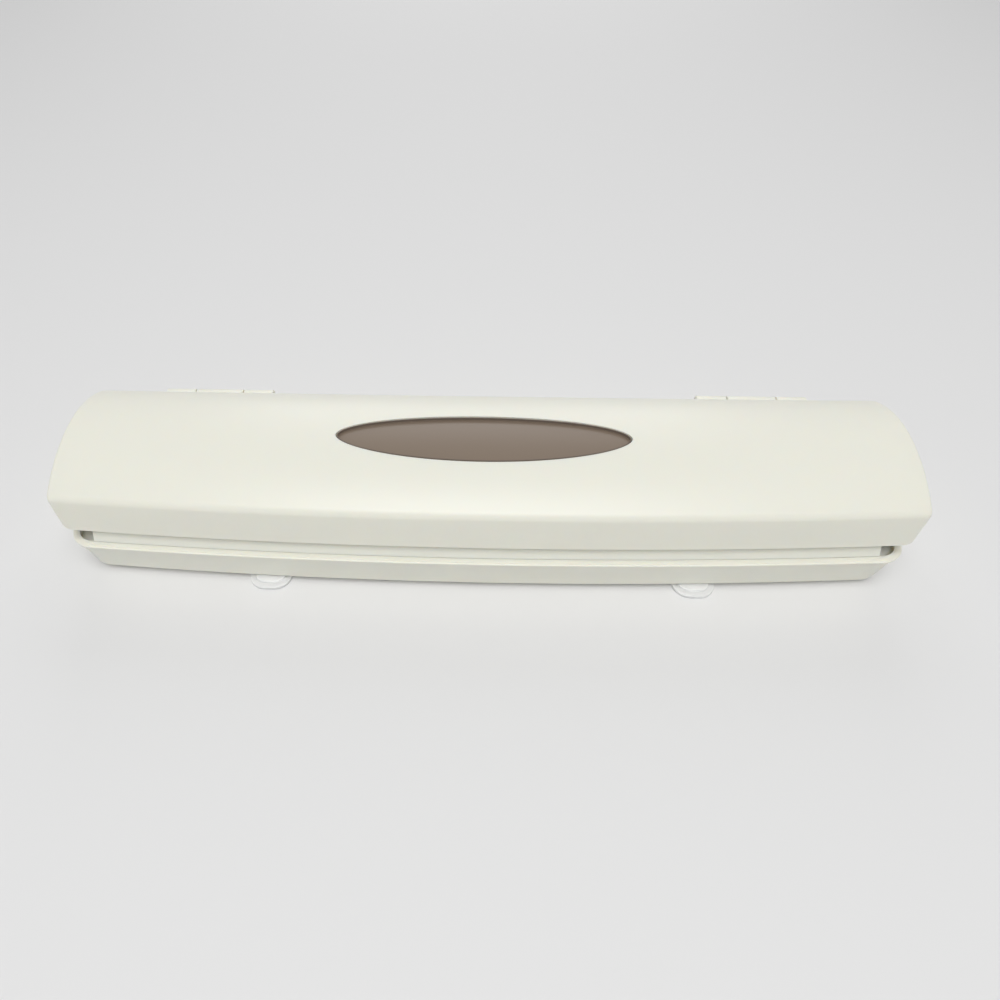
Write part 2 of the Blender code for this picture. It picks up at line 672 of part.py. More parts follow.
def make_grip_strip(material):
    middle = (PLATFORM_FRONT_Y + PLATFORM_BACK_Y) / 2
    low = PLATFORM_HEIGHT + FIT_GAP
    outline = [
        (middle - GRIP_WIDTH / 2, low),
        (middle + GRIP_WIDTH / 2, low),
        (middle + GRIP_WIDTH / 2, low + GRIP_THICKNESS / 2),
        (middle + GRIP_WIDTH / 4, low + GRIP_THICKNESS),
        (middle - GRIP_WIDTH / 4, low + GRIP_THICKNESS),
        (middle - GRIP_WIDTH / 2, low + GRIP_THICKNESS / 2),
    ]
    return bowed_bar("film_grip_strip", outline, PLATFORM_HALF - GRIP_INSET, material)


def make_cradle(side, material):
    """An upright plate across the tray with a slot that holds the hub's trunnion."""
    name = "roll_cradle_left" if side < 0 else "roll_cradle_right"
    slot = TRUNNION_RADIUS + TRUNNION_PLAY
    front = platform_back_at(CRADLE_X + CRADLE_FOOT) + FIT_GAP
    rear = BAY_REAR_Y - FIT_GAP
    low = FLOOR_Z + FIT_GAP
    outline = [
        (front, low),
        (rear, low),
        (rear, CRADLE_HEIGHT - CRADLE_CORNER),
        (rear - CRADLE_CORNER, CRADLE_HEIGHT),
        (ROLL_Y + slot, CRADLE_HEIGHT),
    ]
    outline += circle_points((ROLL_Y, ROLL_HEIGHT), slot, 0, -math.pi, ARC_STEPS)
    outline.append((ROLL_Y - slot, CRADLE_HEIGHT))
    outline.append((front + CRADLE_CORNER, CRADLE_HEIGHT))
    outline.append((front, CRADLE_HEIGHT - CRADLE_CORNER))
    ends = sorted((side * CRADLE_X, side * (CRADLE_X + CRADLE_THICKNESS)))
    cradle = prism(name, outline, "X", ends[0], ends[1], material)
    foot_ends = sorted((side * (CRADLE_X + CRADLE_THICKNESS / 2), side * (CRADLE_X + CRADLE_FOOT)))
    foot = box("cradle_foot", (foot_ends[0], front, low), (foot_ends[1], rear, low + CRADLE_THICKNESS))
    combine(cradle, foot, "UNION")
    return cradle


def platform_back_at(x):
    return PLATFORM_BACK_Y + bow_shift(x, PLATFORM_BACK_Y)


def make_hub(side, material):
    """The plug in the end of the film's core, with the trunnion that turns in the cradle."""
    name = "roll_hub_left" if side < 0 else "roll_hub_right"
    inner = ROLL_LENGTH / 2
    outer = inner + HUB_FLANGE_THICKNESS
    tip = inner - HUB_PLUG_LENGTH
    trunnion_end = outer + TRUNNION_LENGTH
    bore = TRUNNION_RADIUS - HUB_WALL
    profile = [
        (tip, HUB_PLUG_TIP_RADIUS),
        (inner, HUB_PLUG_RADIUS),
        (inner, HUB_FLANGE_RADIUS),
        (outer, HUB_FLANGE_RADIUS),
        (outer, TRUNNION_RADIUS),
        (trunnion_end, TRUNNION_RADIUS),
        (trunnion_end, bore),
        (outer - HUB_FLANGE_THICKNESS / 2, bore),
        (outer - HUB_FLANGE_THICKNESS / 2, HUB_PLUG_TIP_RADIUS - HUB_WALL),
        (tip, HUB_PLUG_TIP_RADIUS - HUB_WALL),
    ]
    profile = [(side * x, radius) for x, radius in profile]
    return turned(name, profile, material, ROLL_Y, ROLL_HEIGHT)


def foot_places():
    """Middle x, middle y and stud y of each foot."""
    places = []
    for side in (-1, 1):
        x = side * FOOT_SPACING / 2
        front = BOTTOM_FRONT_Y - FOOT_BOW - FOOT_REACH
        rear = BASE_REAR_Y - BOTTOM_REAR_SETBACK - FOOT_REAR_INSET
        places.append((x, front + FOOT_DEPTH / 2, front + FOOT_STUD_SETBACK))
        places.append((x, rear - FOOT_DEPTH / 2, rear - FOOT_DEPTH / 2))
    return places


def pad_ring(x, y, inset, z):
    half_x = FOOT_WIDTH / 2 - inset
    half_y = FOOT_DEPTH / 2 - inset
    corners = [(x - half_x, y - half_y), (x + half_x, y - half_y),
               (x + half_x, y + half_y), (x - half_x, y + half_y)]
    outline = rounded_corners(corners, FOOT_CORNER - inset)
    return [(a, b, z) for a, b in outline]


def make_foot(name, x, y, stud_y, material):
    """A soft pad with a raised boss and a mushroom stud through the tray's floor."""
    edge = FOOT_FLANGE / 4
    boss_top = BASE_BOTTOM_HEIGHT - FIT_GAP
    rings = [
        pad_ring(x, y, edge, 0),
        pad_ring(x, y, 0, edge),
        pad_ring(x, y, 0, FOOT_FLANGE - edge),
        pad_ring(x, y, edge, FOOT_FLANGE),
        pad_ring(x, y, FOOT_BOSS_INSET, FOOT_FLANGE),
        pad_ring(x, y, FOOT_BOSS_INSET + edge, boss_top),
    ]
    foot = loft(name, rings, material)
    head_z = FLOOR_Z + FIT_GAP
    stud = cylinder("foot_stud", (x, stud_y), FOOT_STUD_RADIUS, "Z", FOOT_FLANGE,
                    head_z + FIT_GAP, STUD_SIDES)
    combine(foot, stud, "UNION")
    head = cylinder("stud_head", (x, stud_y), FOOT_STUD_HEAD_RADIUS, "Z", head_z,
                    head_z + FOOT_STUD_HEAD_THICKNESS, STUD_SIDES)
    combine(foot, head, "UNION")
    return foot


# Lid pieces

def lid_solid(name, outline, half, fillet, material=None):
    """The lid's side view carried along its length, with small fillets at both ends."""
    rings = []
    ends = []
    for step in range(END_STEPS + 1):
        angle = math.pi / 2 * step / END_STEPS
        ends.append((half - fillet * (1 - math.sin(angle)), fillet * (1 - math.cos(angle))))
    places = [(-x, inset) for x, inset in reversed(ends)]
    places += [(x, 0.0) for x in stations(half - fillet)[1:-1]]
    places += ends
    for x, inset in places:
        ring = inset_outline(outline, inset) if inset else outline
        rings.append([(x, y + bow_shift(x, y), z) for y, z in ring])
    return loft(name, rings, material)


def lid_corner_cut(side):
    """Front view of what is taken off below the lid's rounded lower corner."""
    radius = LID_CORNER_RADIUS
    middle = (LID_HALF - radius, LIP_HEIGHT + radius)
    outline = circle_points(middle, radius, -math.pi / 2, 0, ARC_STEPS)
    outline.append((LID_HALF + OVERRUN, LIP_HEIGHT + radius))
    outline.append((LID_HALF + OVERRUN, LIP_HEIGHT - OVERRUN))
    outline.append((LID_HALF - radius, LIP_HEIGHT - OVERRUN))
    outline = [(side * x, z) for x, z in outline]
    return prism("corner_cut", outline, "Y", FRONT_Y - OVERRUN, REAR_Y + OVERRUN)


def window_half_width(x, grow=0.0):
    """Half width of the long lens shape at x: an ellipse whose ends are drawn in a little."""
    share = min(abs(x) / (WINDOW_LENGTH / 2 + grow), 1.0)
    return (WINDOW_WIDTH / 2 + grow) * (1 - share * share) ** WINDOW_FULLNESS


def window_loft(name, grow, bottom, top, material=None):
    """A slab that follows the lid's skin, with the window's outline grown by a distance."""
    half = WINDOW_LENGTH / 2 + grow
    rings = []
    for step in range(1, WINDOW_STEPS):
        x = -half * math.cos(math.pi * step / WINDOW_STEPS)
        width = window_half_width(x, grow)
        upper = []
        lower = []
        for index in range(WINDOW_ACROSS):
            y = WINDOW_Y + width * (2 * index / (WINDOW_ACROSS - 1) - 1)
            skin = crown_height(y - bow_shift(x, y))
            upper.append((x, y, skin + top))
            lower.append((x, y, skin + bottom))
        rings.append(upper + lower[::-1])
    return loft(name, rings, material)


def make_lid_shell(material):
    shell = lid_solid("lid_shell", lid_outline(), LID_HALF, END_FILLET, material)
    hollow = lid_outline(LID_WALL, OVERRUN)
    combine(shell, bowed_bar("lid_hollow", hollow, LID_HALF - LID_WALL), "DIFFERENCE")
    for side in (-1, 1):
        combine(shell, lid_corner_cut(side), "DIFFERENCE")
    combine(shell, window_loft("window_hole", FIT_GAP, -LID_WALL * 2, LID_WALL), "DIFFERENCE")
    for x in SCREW_PLACES:
        add_screw_boss(shell, x)
    for side in (-1, 1):
        add_spring_post(shell, side)
    for side in (-1, 1):
        for index, (low, high) in enumerate(knuckle_places(side)):
            if index == 1:
                barrel = cylinder("lid_knuckle", (HINGE_Y, HINGE_HEIGHT), KNUCKLE_RADIUS, "X", low, high)
                combine(shell, barrel, "UNION")
                bore_knuckle(shell, low, high)
            else:
                play = FIT_GAP + FIT_GAP / 2
                pocket = cylinder("knuckle_pocket", (HINGE_Y, HINGE_HEIGHT), KNUCKLE_RADIUS + play,
                                  "X", low - play, high + play)
                combine(shell, pocket, "DIFFERENCE")
    return shell


def add_screw_boss(shell, x):
    y = SCREW_Y + bow_shift(x, SCREW_Y)
    top = crown_height(SCREW_Y) - LID_WALL / 2
    low = TAB_Z + CARRIER_WALL + FIT_GAP
    boss = cylinder("screw_boss", (x, y), BOSS_RADIUS, "Z", low, top, STUD_SIDES)
    combine(shell, boss, "UNION")
    hole = cylinder("screw_hole", (x, y), SCREW_RADIUS + FIT_GAP, "Z", low - LID_WALL,
                    low + SCREW_LENGTH, SMALL_SIDES)
    combine(shell, hole, "DIFFERENCE")


def add_spring_post(shell, side):
    top = crown_height(SPRING_Y) - LID_WALL / 2
    post = cylinder("spring_post", (side * SPRING_X, SPRING_Y), POST_RADIUS, "Z",
                    SPRING_TOP_HEIGHT + FIT_GAP, top, STUD_SIDES)
    combine(shell, post, "UNION")
    web = box("post_web", (side * SPRING_X - LID_WALL / 4, SPRING_Y - POST_RADIUS * 2,
                           SPRING_TOP_HEIGHT + POST_RADIUS * 3),
              (side * SPRING_X + LID_WALL / 4, SPRING_Y + POST_RADIUS * 2,
               crown_height(SPRING_Y + POST_RADIUS * 2) - LID_WALL / 2))
    combine(shell, web, "UNION")


def make_window_lens(material):
    """The smoked lens: a plug in the lid's opening on a wider flange under the lid's skin."""
    flange_top = -LID_WALL - FIT_GAP * 2
    lens = window_loft("window_lens", LENS_FLANGE, flange_top - LENS_THICKNESS, flange_top,
                       material=material)
    plug = window_loft("lens_plug", -FIT_GAP, flange_top - LENS_THICKNESS / 2, -WINDOW_RECESS)
    combine(lens, plug, "UNION")
    return lens


def blade_outline_height(index):
    return BLADE_TIP_HEIGHT if index % 2 else BLADE_TIP_HEIGHT + TOOTH_DEPTH


def peg_places():
    return stations(BLADE_LENGTH / 2 * PEG_SPREAD_SHARE, PEG_COUNT - 1)


def peg_height():
    return (BLADE_TOP_HEIGHT + CARRIER_LIP_HEIGHT) / 2


def make_cutting_blade(material):
    """A thin steel strip with saw teeth along its lower edge, flexed to the front's bow."""
    columns = 2 * round(BLADE_LENGTH / TOOTH_PITCH)
    rings = []
    for index, x in enumerate(stations(BLADE_LENGTH / 2, columns)):
        low = blade_outline_height(index)
        outline = [(BLADE_Y, low), (BLADE_Y + BLADE_THICKNESS, low),
                   (BLADE_Y + BLADE_THICKNESS, BLADE_TOP_HEIGHT), (BLADE_Y, BLADE_TOP_HEIGHT)]
        rings.append([(x, y + bow_shift(x, BLADE_Y), z) for y, z in outline])
    blade = loft("cutting_blade", rings, material)
    for x in peg_places():
        hole = cylinder("peg_hole", (x, peg_height()), PEG_RADIUS + FIT_GAP, "Y",
                        FRONT_Y - OVERRUN, PLATFORM_BACK_Y, SMALL_SIDES)
        combine(blade, hole, "DIFFERENCE")
    return blade


def make_blade_carrier(material):
    """The channel behind the lid's front: it backs the blade and guides the presser."""
    front = CARRIER_FRONT_Y
    back = CARRIER_BACK_Y
    low = CARRIER_LIP_HEIGHT
    lip_top = low + CARRIER_LIP
    inner_front = CHANNEL_FRONT_Y
    inner_back = CHANNEL_FRONT_Y + CHANNEL_WIDTH
    chamfer = CARRIER_WALL
    outline = [
        (front, low),
        (inner_front + CARRIER_LIP, low),
        (inner_front + CARRIER_LIP, lip_top),
        (inner_front, lip_top),
        (inner_front, CHANNEL_TOP_Z),
        (inner_back, CHANNEL_TOP_Z),
        (inner_back, lip_top),
        (inner_back - CARRIER_LIP, lip_top),
        (inner_back - CARRIER_LIP, low),
        (back, low),
        (back, CARRIER_TOP_HEIGHT),
        (front + chamfer, CARRIER_TOP_HEIGHT),
        (front, CARRIER_TOP_HEIGHT - chamfer),
    ]
    carrier = bowed_bar("blade_carrier", outline, BLADE_LENGTH / 2, material)
    for x in peg_places():
        shift = bow_shift(x, BLADE_Y)
        peg = cylinder("blade_peg", (x, peg_height()), PEG_RADIUS, "Y", BLADE_Y + shift,
                       CARRIER_FRONT_Y + shift + CARRIER_WALL / 2, SMALL_SIDES)
        combine(carrier, peg, "UNION")
    for x in SCREW_PLACES:
        shift = bow_shift(x, SCREW_Y)
        tab = box("carrier_tab", (x - TAB_WIDTH / 2, back + shift - CARRIER_WALL / 2, TAB_Z),
                  (x + TAB_WIDTH / 2, back + shift + TAB_DEPTH, CARRIER_TOP_HEIGHT))
        combine(carrier, tab, "UNION")
        hole = cylinder("tab_hole", (x, SCREW_Y + shift), SCREW_RADIUS + FIT_GAP, "Z",
                        TAB_Z - OVERRUN / 2, CARRIER_TOP_HEIGHT + OVERRUN / 2, SMALL_SIDES)
        combine(carrier, hole, "DIFFERENCE")
    return carrier


def make_carrier_screw(index, x, material):
    y = SCREW_Y + bow_shift(x, SCREW_Y)
    head_top = TAB_Z - FIT_GAP
    head_low = head_top - SCREW_HEAD_THICKNESS
    radius_steps = [
        (head_low, SCREW_HEAD_RADIUS * SCREW_DOME_SHARE),
        (head_low + SCREW_HEAD_THICKNESS / 2, SCREW_HEAD_RADIUS),
        (head_top, SCREW_HEAD_RADIUS),
        (head_top, SCREW_RADIUS),
        (head_top + SCREW_LENGTH, SCREW_RADIUS),
        (head_top + SCREW_LENGTH + SCREW_RADIUS / 2, SCREW_RADIUS / 2),
    ]
    rings = []
    for z, radius in radius_steps:
        circle = circle_points((x, y), radius, 0, 2 * math.pi, SMALL_SIDES)[:-1]
        rings.append([(a, b, z) for a, b in circle])
    return loft("carrier_screw_%d" % (index + 1), rings, material)


def make_presser_bar(material):
    stem_low = PAD_HEIGHT + PAD_THICKNESS + FIT_GAP
    middle = CHANNEL_MIDDLE_Y
    head = PRESSER_HEAD_WIDTH / 2
    stem = PRESSER_STEM_WIDTH / 2
    outline = [
        (middle - stem, stem_low),
        (middle + stem, stem_low),
        (middle + stem, PRESSER_HEAD_Z),
        (middle + head, PRESSER_HEAD_Z),
        (middle + head, PRESSER_TOP_Z),
        (middle - head, PRESSER_TOP_Z),
        (middle - head, PRESSER_HEAD_Z),
        (middle - stem, PRESSER_HEAD_Z),
    ]
    return bowed_bar("presser_bar", outline, PRESSER_LENGTH / 2, material)


def make_presser_pad(material):
    half = PRESSER_STEM_WIDTH / 2
    edge = PAD_THICKNESS / 3
    middle = CHANNEL_MIDDLE_Y
    outline = [
        (middle - half + edge, PAD_HEIGHT),
        (middle + half - edge, PAD_HEIGHT),
        (middle + half, PAD_HEIGHT + edge),
        (middle + half, PAD_HEIGHT + PAD_THICKNESS),
        (middle - half, PAD_HEIGHT + PAD_THICKNESS),
        (middle - half, PAD_HEIGHT + edge),
    ]
    return bowed_bar("presser_pad", outline, PRESSER_LENGTH / 2, material)


def hang_on_axis(name, place, pieces, parent=None):
    """An empty on a joint's axis that carries the pieces that move about it."""
    axis = bpy.data.objects.new(name, None)
    bpy.context.scene.collection.objects.link(axis)
    axis.location = place
    if parent:
        axis.parent = parent
        axis.location = Vector(place) - parent.location
    for piece in pieces:
        piece.parent = axis
        piece.matrix_parent_inverse = Matrix.Translation(-Vector(place))
    return axis


def build():
    clear_scene()
    cream = make_material("cream_plastic", (0.84, 0.83, 0.76), 0.35)
    smoke = make_material("smoked_plastic", (0.16, 0.12, 0.09), 0.12, alpha=0.75)
    steel = make_material("steel", (0.62, 0.63, 0.65), 0.28, 1.0)
    rubber = make_material("clear_rubber", (0.80, 0.82, 0.82), 0.30, alpha=0.8)
    grip = make_material("grip_rubber", (0.30, 0.30, 0.31), 0.70)
    hub_plastic = make_material("hub_plastic", (0.80, 0.80, 0.78), 0.40)

    make_base_tray(cream)
    make_film_platform(cream)
    make_grip_strip(grip)
    foot_names = ("foot_front_left", "foot_rear_left", "foot_front_right", "foot_rear_right")
    for name, (x, y, stud_y) in zip(foot_names, foot_places()):
        make_foot(name, x, y, stud_y, rubber)
    for side, word in ((-1, "left"), (1, "right")):
        make_hinge_pin(side, steel)
        make_cradle(side, cream)
        make_hub(side, hub_plastic)
        coil("return_spring_" + word, (side * SPRING_X, SPRING_Y), SPRING_RADIUS, SPRING_WIRE,
             SPRING_TURNS, FLOOR_Z + FIT_GAP, SPRING_TOP_HEIGHT, steel)

    lid_pieces = [
        make_lid_shell(cream),
        make_window_lens(smoke),
        make_blade_carrier(cream),
        make_cutting_blade(steel),
    ]
    for index, x in enumerate(SCREW_PLACES):
        lid_pieces.append(make_carrier_screw(index, x, steel))
    for index, x in enumerate(PRESSER_SPRING_PLACES):
        middle = (x, CHANNEL_MIDDLE_Y + bow_shift(x, CHANNEL_MIDDLE_Y))
        spring = coil("presser_spring_%d" % (index + 1), middle, PRESSER_SPRING_RADIUS,
                      PRESSER_SPRING_WIRE, PRESSER_SPRING_TURNS, PRESSER_TOP_Z + FIT_GAP,
                      CHANNEL_TOP_Z - FIT_GAP, steel)
        lid_pieces.append(spring)
    lid_axis = hang_on_axis("lid_axis", (0, HINGE_Y, HINGE_HEIGHT), lid_pieces)
    presser_pieces = [make_presser_bar(cream), make_presser_pad(grip)]
    presser_place = (0, CHANNEL_MIDDLE_Y, PRESSER_HEAD_Z)
    hang_on_axis("presser_axis", presser_place, presser_pieces, lid_axis)


build()
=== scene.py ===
import json
import math

import bmesh
import bpy
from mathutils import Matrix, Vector

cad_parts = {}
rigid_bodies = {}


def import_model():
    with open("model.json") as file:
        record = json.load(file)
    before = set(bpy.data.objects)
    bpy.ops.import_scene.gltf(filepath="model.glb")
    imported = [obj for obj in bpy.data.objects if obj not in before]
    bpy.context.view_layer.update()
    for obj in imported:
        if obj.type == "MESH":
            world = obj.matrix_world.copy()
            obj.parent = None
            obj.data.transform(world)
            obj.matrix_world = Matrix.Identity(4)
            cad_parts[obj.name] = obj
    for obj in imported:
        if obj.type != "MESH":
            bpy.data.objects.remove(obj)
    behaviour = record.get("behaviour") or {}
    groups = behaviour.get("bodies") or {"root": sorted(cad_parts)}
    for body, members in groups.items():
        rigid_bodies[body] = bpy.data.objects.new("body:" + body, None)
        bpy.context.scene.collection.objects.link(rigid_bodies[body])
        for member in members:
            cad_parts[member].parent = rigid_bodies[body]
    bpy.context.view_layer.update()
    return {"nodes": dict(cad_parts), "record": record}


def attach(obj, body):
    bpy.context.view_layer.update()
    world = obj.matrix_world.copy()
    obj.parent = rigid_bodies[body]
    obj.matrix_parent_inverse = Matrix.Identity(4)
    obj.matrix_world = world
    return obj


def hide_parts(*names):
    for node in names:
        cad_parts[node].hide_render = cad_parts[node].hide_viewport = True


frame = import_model()
print("frame loaded:", len(frame["nodes"]), "nodes")

# Shared places, in metres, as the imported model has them
body = {
    "half": 0.1935, "frontY": -0.037291, "rearY": 0.045909, "bow": 0.0064,
    "lipZ": 0.0297, "edgeZ": 0.0504, "crownY": 0.003227, "crownZ": 0.0619,
    "rearRadius": 0.060, "cornerRadius": 0.026, "rearEdgeZ": 0.0396, "wall": 0.0022,
}
hinge = {
    "y": 0.044909, "z": 0.0422, "radius": 0.0032, "bore": 0.0014, "play": 0.00045,
    "middle": 0.1373, "lidHalf": 0.01215, "gap": 0.0006, "baseLength": 0.0151,
    "edge": 0.0003,
}
planes = {  # how a flat outline lies, and the axis its arcs turn about
    "X": (lambda a, b: (0, a, b), (1, 0, 0)),
    "Y": (lambda a, b: (a, 0, b), (0, -1, 0)),
    "Z": (lambda a, b: (a, b, 0), (0, 0, 1)),
}


def bowShift(x, y, bow):
    reach = min(max((body["rearY"] - y) / (body["rearY"] - body["frontY"]), 0), 1)
    return -bow * (1 - (x / body["half"]) ** 2) * reach


def bend(bm):
    for vert in bm.verts:
        vert.co.y += bowShift(vert.co.x, vert.co.y, body["bow"])


def drawOutline(bm, plane, start, moves, height=0.0):
    place, axis = planes[plane]
    lift = Vector(axis) * (height if plane != "Y" else -height)
    first = last = bm.verts.new(Vector(place(*start)) + lift)
    verts = [first]
    for move in moves:
        if move[0] == "to":
            fresh = bm.verts.new(Vector(place(*move[1])) + lift)
            bm.edges.new((last, fresh))
            verts.append(fresh)
        else:
            centre, angle, steps = move[1:]
            spun = bmesh.ops.spin(bm, geom=[last], cent=Vector(place(*centre)) + lift,
                                  axis=axis, angle=angle, steps=steps)
            fresh = [g for g in spun["geom_last"] if isinstance(g, bmesh.types.BMVert)][0]
            walk = [fresh]
            while walk[-1] is not last:  # back along the new chain
                here = walk[-1]
                ahead = [e.other_vert(here) for e in here.link_edges]
                ahead = [v for v in ahead if v not in walk]
                walk.append(ahead[0])
            verts += walk[:-1][::-1]
        last = verts[-1]
    if (last.co - first.co).length < 1e-6:
        bmesh.ops.weld_verts(bm, targetmap={last: first})
        verts.pop()
    else:
        bm.edges.new((last, first))
    return verts


def pushSolid(bm, verts, move):
    face = bm.faces.new(verts)
    grown = bmesh.ops.extrude_face_region(bm, geom=[face])
    moved = [g for g in grown["geom"] if isinstance(g, bmesh.types.BMVert)]
    bmesh.ops.translate(bm, verts=moved, vec=move)


def spanX(bm, verts, low, high):
    pushSolid(bm, verts, (high - low, 0, 0))
    bmesh.ops.translate(bm, verts=bm.verts, vec=(low, 0, 0))


lengthwise = {"least": 0.1, "cuts": 47, "along": 0.99}


def divideLong(bm):
    longEdges = [e for e in bm.edges if e.calc_length() > lengthwise["least"]
                 and abs((e.verts[0].co - e.verts[1].co).normalized().x) > lengthwise["along"]]
    bmesh.ops.subdivide_edges(bm, edges=longEdges, cuts=lengthwise["cuts"], use_grid_fill=True)


def bevelEdges(bm, edges, offset, segments):
    bmesh.ops.bevel(bm, geom=edges, offset=offset, segments=segments, profile=0.5,
                    affect="EDGES", material=-1)


def makeObject(bm, name):
    bmesh.ops.recalc_face_normals(bm, faces=bm.faces)
    mesh = bpy.data.meshes.new(name)
    bm.to_mesh(mesh)
    bm.free()
    obj = bpy.data.objects.new(name, mesh)
    bpy.context.scene.collection.objects.link(obj)
    return obj


def cut(obj, tool, operation="DIFFERENCE"):
    modifier = obj.modifiers.new(tool.name, "BOOLEAN")
    modifier.operation = operation
    modifier.object = tool
    modifier.solver = "EXACT"
    tool["isTool"] = True


def roundEdges(obj, width, segments=3, angle=50):
    modifier = obj.modifiers.new("edges", "BEVEL")
    modifier.width = width
    modifier.segments = segments
    modifier.limit_method = "ANGLE"
    modifier.angle_limit = math.radians(angle)
    modifier.harden_normals = False


care = {"weld": 2e-6, "sharp": 32}


def settle(obj):
    graph = bpy.context.evaluated_depsgraph_get()
    graph.update()
    mesh = bpy.data.meshes.new_from_object(obj.evaluated_get(graph))
    obj.modifiers.clear()
    obj.data = mesh
    tidy = bmesh.new()
    tidy.from_mesh(mesh)
    bmesh.ops.remove_doubles(tidy, verts=tidy.verts, dist=care["weld"])
    bmesh.ops.dissolve_degenerate(tidy, dist=care["weld"], edges=tidy.edges)
    openEdges = len([e for e in tidy.edges if len(e.link_faces) != 2])
    tidy.to_mesh(mesh)
    tidy.free()
    mesh.shade_smooth()
    mesh.set_sharp_from_angle(angle=math.radians(care["sharp"]))
    for tool in [o for o in bpy.data.objects if o.get("isTool")]:
        bpy.data.objects.remove(tool, do_unlink=True)
    print("made", obj.name, len(mesh.polygons), "faces,", openEdges, "open edges")
    return obj


def roundBar(name, centre, radius, axis, low, high, sides=48, edge=0.0):
    bm = bmesh.new()
    x, y = centre
    verts = drawOutline(bm, axis, (x + radius, y), [("arc", (x, y), 2 * math.pi, sides)])
    direction = Vector({"X": (1, 0, 0), "Y": (0, 1, 0), "Z": (0, 0, 1)}[axis])
    pushSolid(bm, verts, direction * (high - low))
    bmesh.ops.translate(bm, verts=bm.verts, vec=direction * low)
    if edge:
        rims = [e for e in bm.edges if abs((e.verts[0].co - e.verts[1].co).dot(direction)) < 1e-7]
        bevelEdges(bm, rims, edge, 2)
    return makeObject(bm, name)


def block(name, low, high):
    bm = bmesh.new()
    bmesh.ops.create_cube(bm, size=1)
    low, high = Vector(low), Vector(high)
    for vert in bm.verts:
        vert.co = [(a + b) / 2 + c * (b - a) for a, b, c in zip(low, high, vert.co)]
    return makeObject(bm, name)


# Camera, fitted to the photograph
camera = {
    "place": (-0.00339, -0.245999, 0.286826), "turn": (42.291, 0.433, 1.74),
    "lens": 26.0646, "shift": (0.043994, -0.003905),
}
lensData = bpy.data.cameras.new("camera")
lensData.lens = camera["lens"]
lensData.sensor_width = 36
lensData.shift_x, lensData.shift_y = camera["shift"]
lensData.clip_start = 0.01
eye = bpy.data.objects.new("camera", lensData)
eye.location = camera["place"]
eye.rotation_euler = [math.radians(angle) for angle in camera["turn"]]
bpy.context.scene.collection.objects.link(eye)
bpy.context.scene.camera = eye
print("camera set")


# Lid shell
lid = {
    "fillet": 0.0045, "endFillet": 0.0016, "lowCorner": 0.005, "edge": 0.00045,
    "overrun": 0.02, "clear": 0.01, "cutDepth": 0.12, "web": 0.00055, "screwLead": 0.002,
    "screws": (-0.14025, -0.0495, 0.0495, 0.14025), "screwY": -0.020391, "bossLow": 0.0482,
    "boss": 0.0034, "screwHole": 0.0016, "screwDepth": 0.006,
    "postX": 0.176, "postY": -0.002291, "post": 0.0032, "postLow": 0.0313, "webRise": 0.0406,
}


def crownArcs(wall=0.0):
    rise = body["crownZ"] - body["edgeZ"]
    setback = body["crownY"] - body["frontY"]
    front = (setback ** 2 + rise ** 2) / (2 * rise)
    between = body["rearRadius"] - body["cornerRadius"]
    cornerY = body["rearY"] - body["cornerRadius"]
    join = math.asin((cornerY - body["crownY"]) / between)
    cornerZ = body["crownZ"] - body["rearRadius"] + between * math.cos(join)
    return {
        "front": ((body["crownY"], body["crownZ"] - front), front - wall),
        "rear": ((body["crownY"], body["crownZ"] - body["rearRadius"]), body["rearRadius"] - wall),
        "corner": ((cornerY, cornerZ), body["cornerRadius"] - wall),
        "join": join,
    }


def skinHeight(y):
    arcs = crownArcs()
    centre, radius = arcs["front"]
    if y > body["crownY"]:
        centre, radius = arcs["rear"]
        if y > centre[0] + radius * math.sin(arcs["join"]):
            centre, radius = arcs["corner"]
    return centre[1] + math.sqrt(max(radius ** 2 - (y - centre[0]) ** 2, 0))


def lidMoves(wall=0.0, drop=0.0):
    arcs = crownArcs(wall)
    frontY = body["frontY"] + wall
    fillet = lid["fillet"] - wall
    centre, radius = arcs["front"]
    filletY = frontY + fillet
    filletZ = centre[1] + math.sqrt((radius - fillet) ** 2 - (filletY - centre[0]) ** 2)
    meet = math.atan2(filletZ - centre[1], filletY - centre[0])
    corner, cornerSize = arcs["corner"]
    first = math.asin((body["rearEdgeZ"] - corner[1]) / cornerSize)
    start = (corner[0] + cornerSize * math.cos(first), corner[1] + cornerSize * math.sin(first))
    moves = [
        ("arc", corner, math.pi / 2 - arcs["join"] - first, 20),
        ("arc", arcs["rear"][0], arcs["join"], 14),
        ("arc", centre, meet - math.pi / 2, 22),
        ("arc", (filletY, filletZ), math.pi - meet, 9),
        ("to", (frontY, body["lipZ"] - drop)),
    ]
    if drop:
        moves.append(("to", (start[0], body["rearEdgeZ"] - drop)))
    return start, moves


def lidSolid(name, wall, drop, half, fillet):
    bm = bmesh.new()
    start, moves = lidMoves(wall, drop)
    verts = drawOutline(bm, "X", start, moves)
    spanX(bm, verts, -half, half)
    if fillet:
        low = body["lipZ"] + 1e-5
        rims = [e for e in bm.edges if abs(e.verts[0].co.x - e.verts[1].co.x) < 1e-6
                and not (min(v.co.z for v in e.verts) < body["rearEdgeZ"] + 1e-5
                         and e.calc_length() > 0.03)]
        bevelEdges(bm, rims, fillet, 6)
    divideLong(bm)
    bend(bm)
    return makeObject(bm, name)


def hingeParts():
    for side in (-1, 1):
        middle = side * hinge["middle"]
        near = hinge["lidHalf"] + hinge["gap"]
        far = near + hinge["baseLength"]
        yield middle - hinge["lidHalf"], middle + hinge["lidHalf"], "lid"
        yield middle - far, middle - near, "base"
        yield middle + near, middle + far, "base"


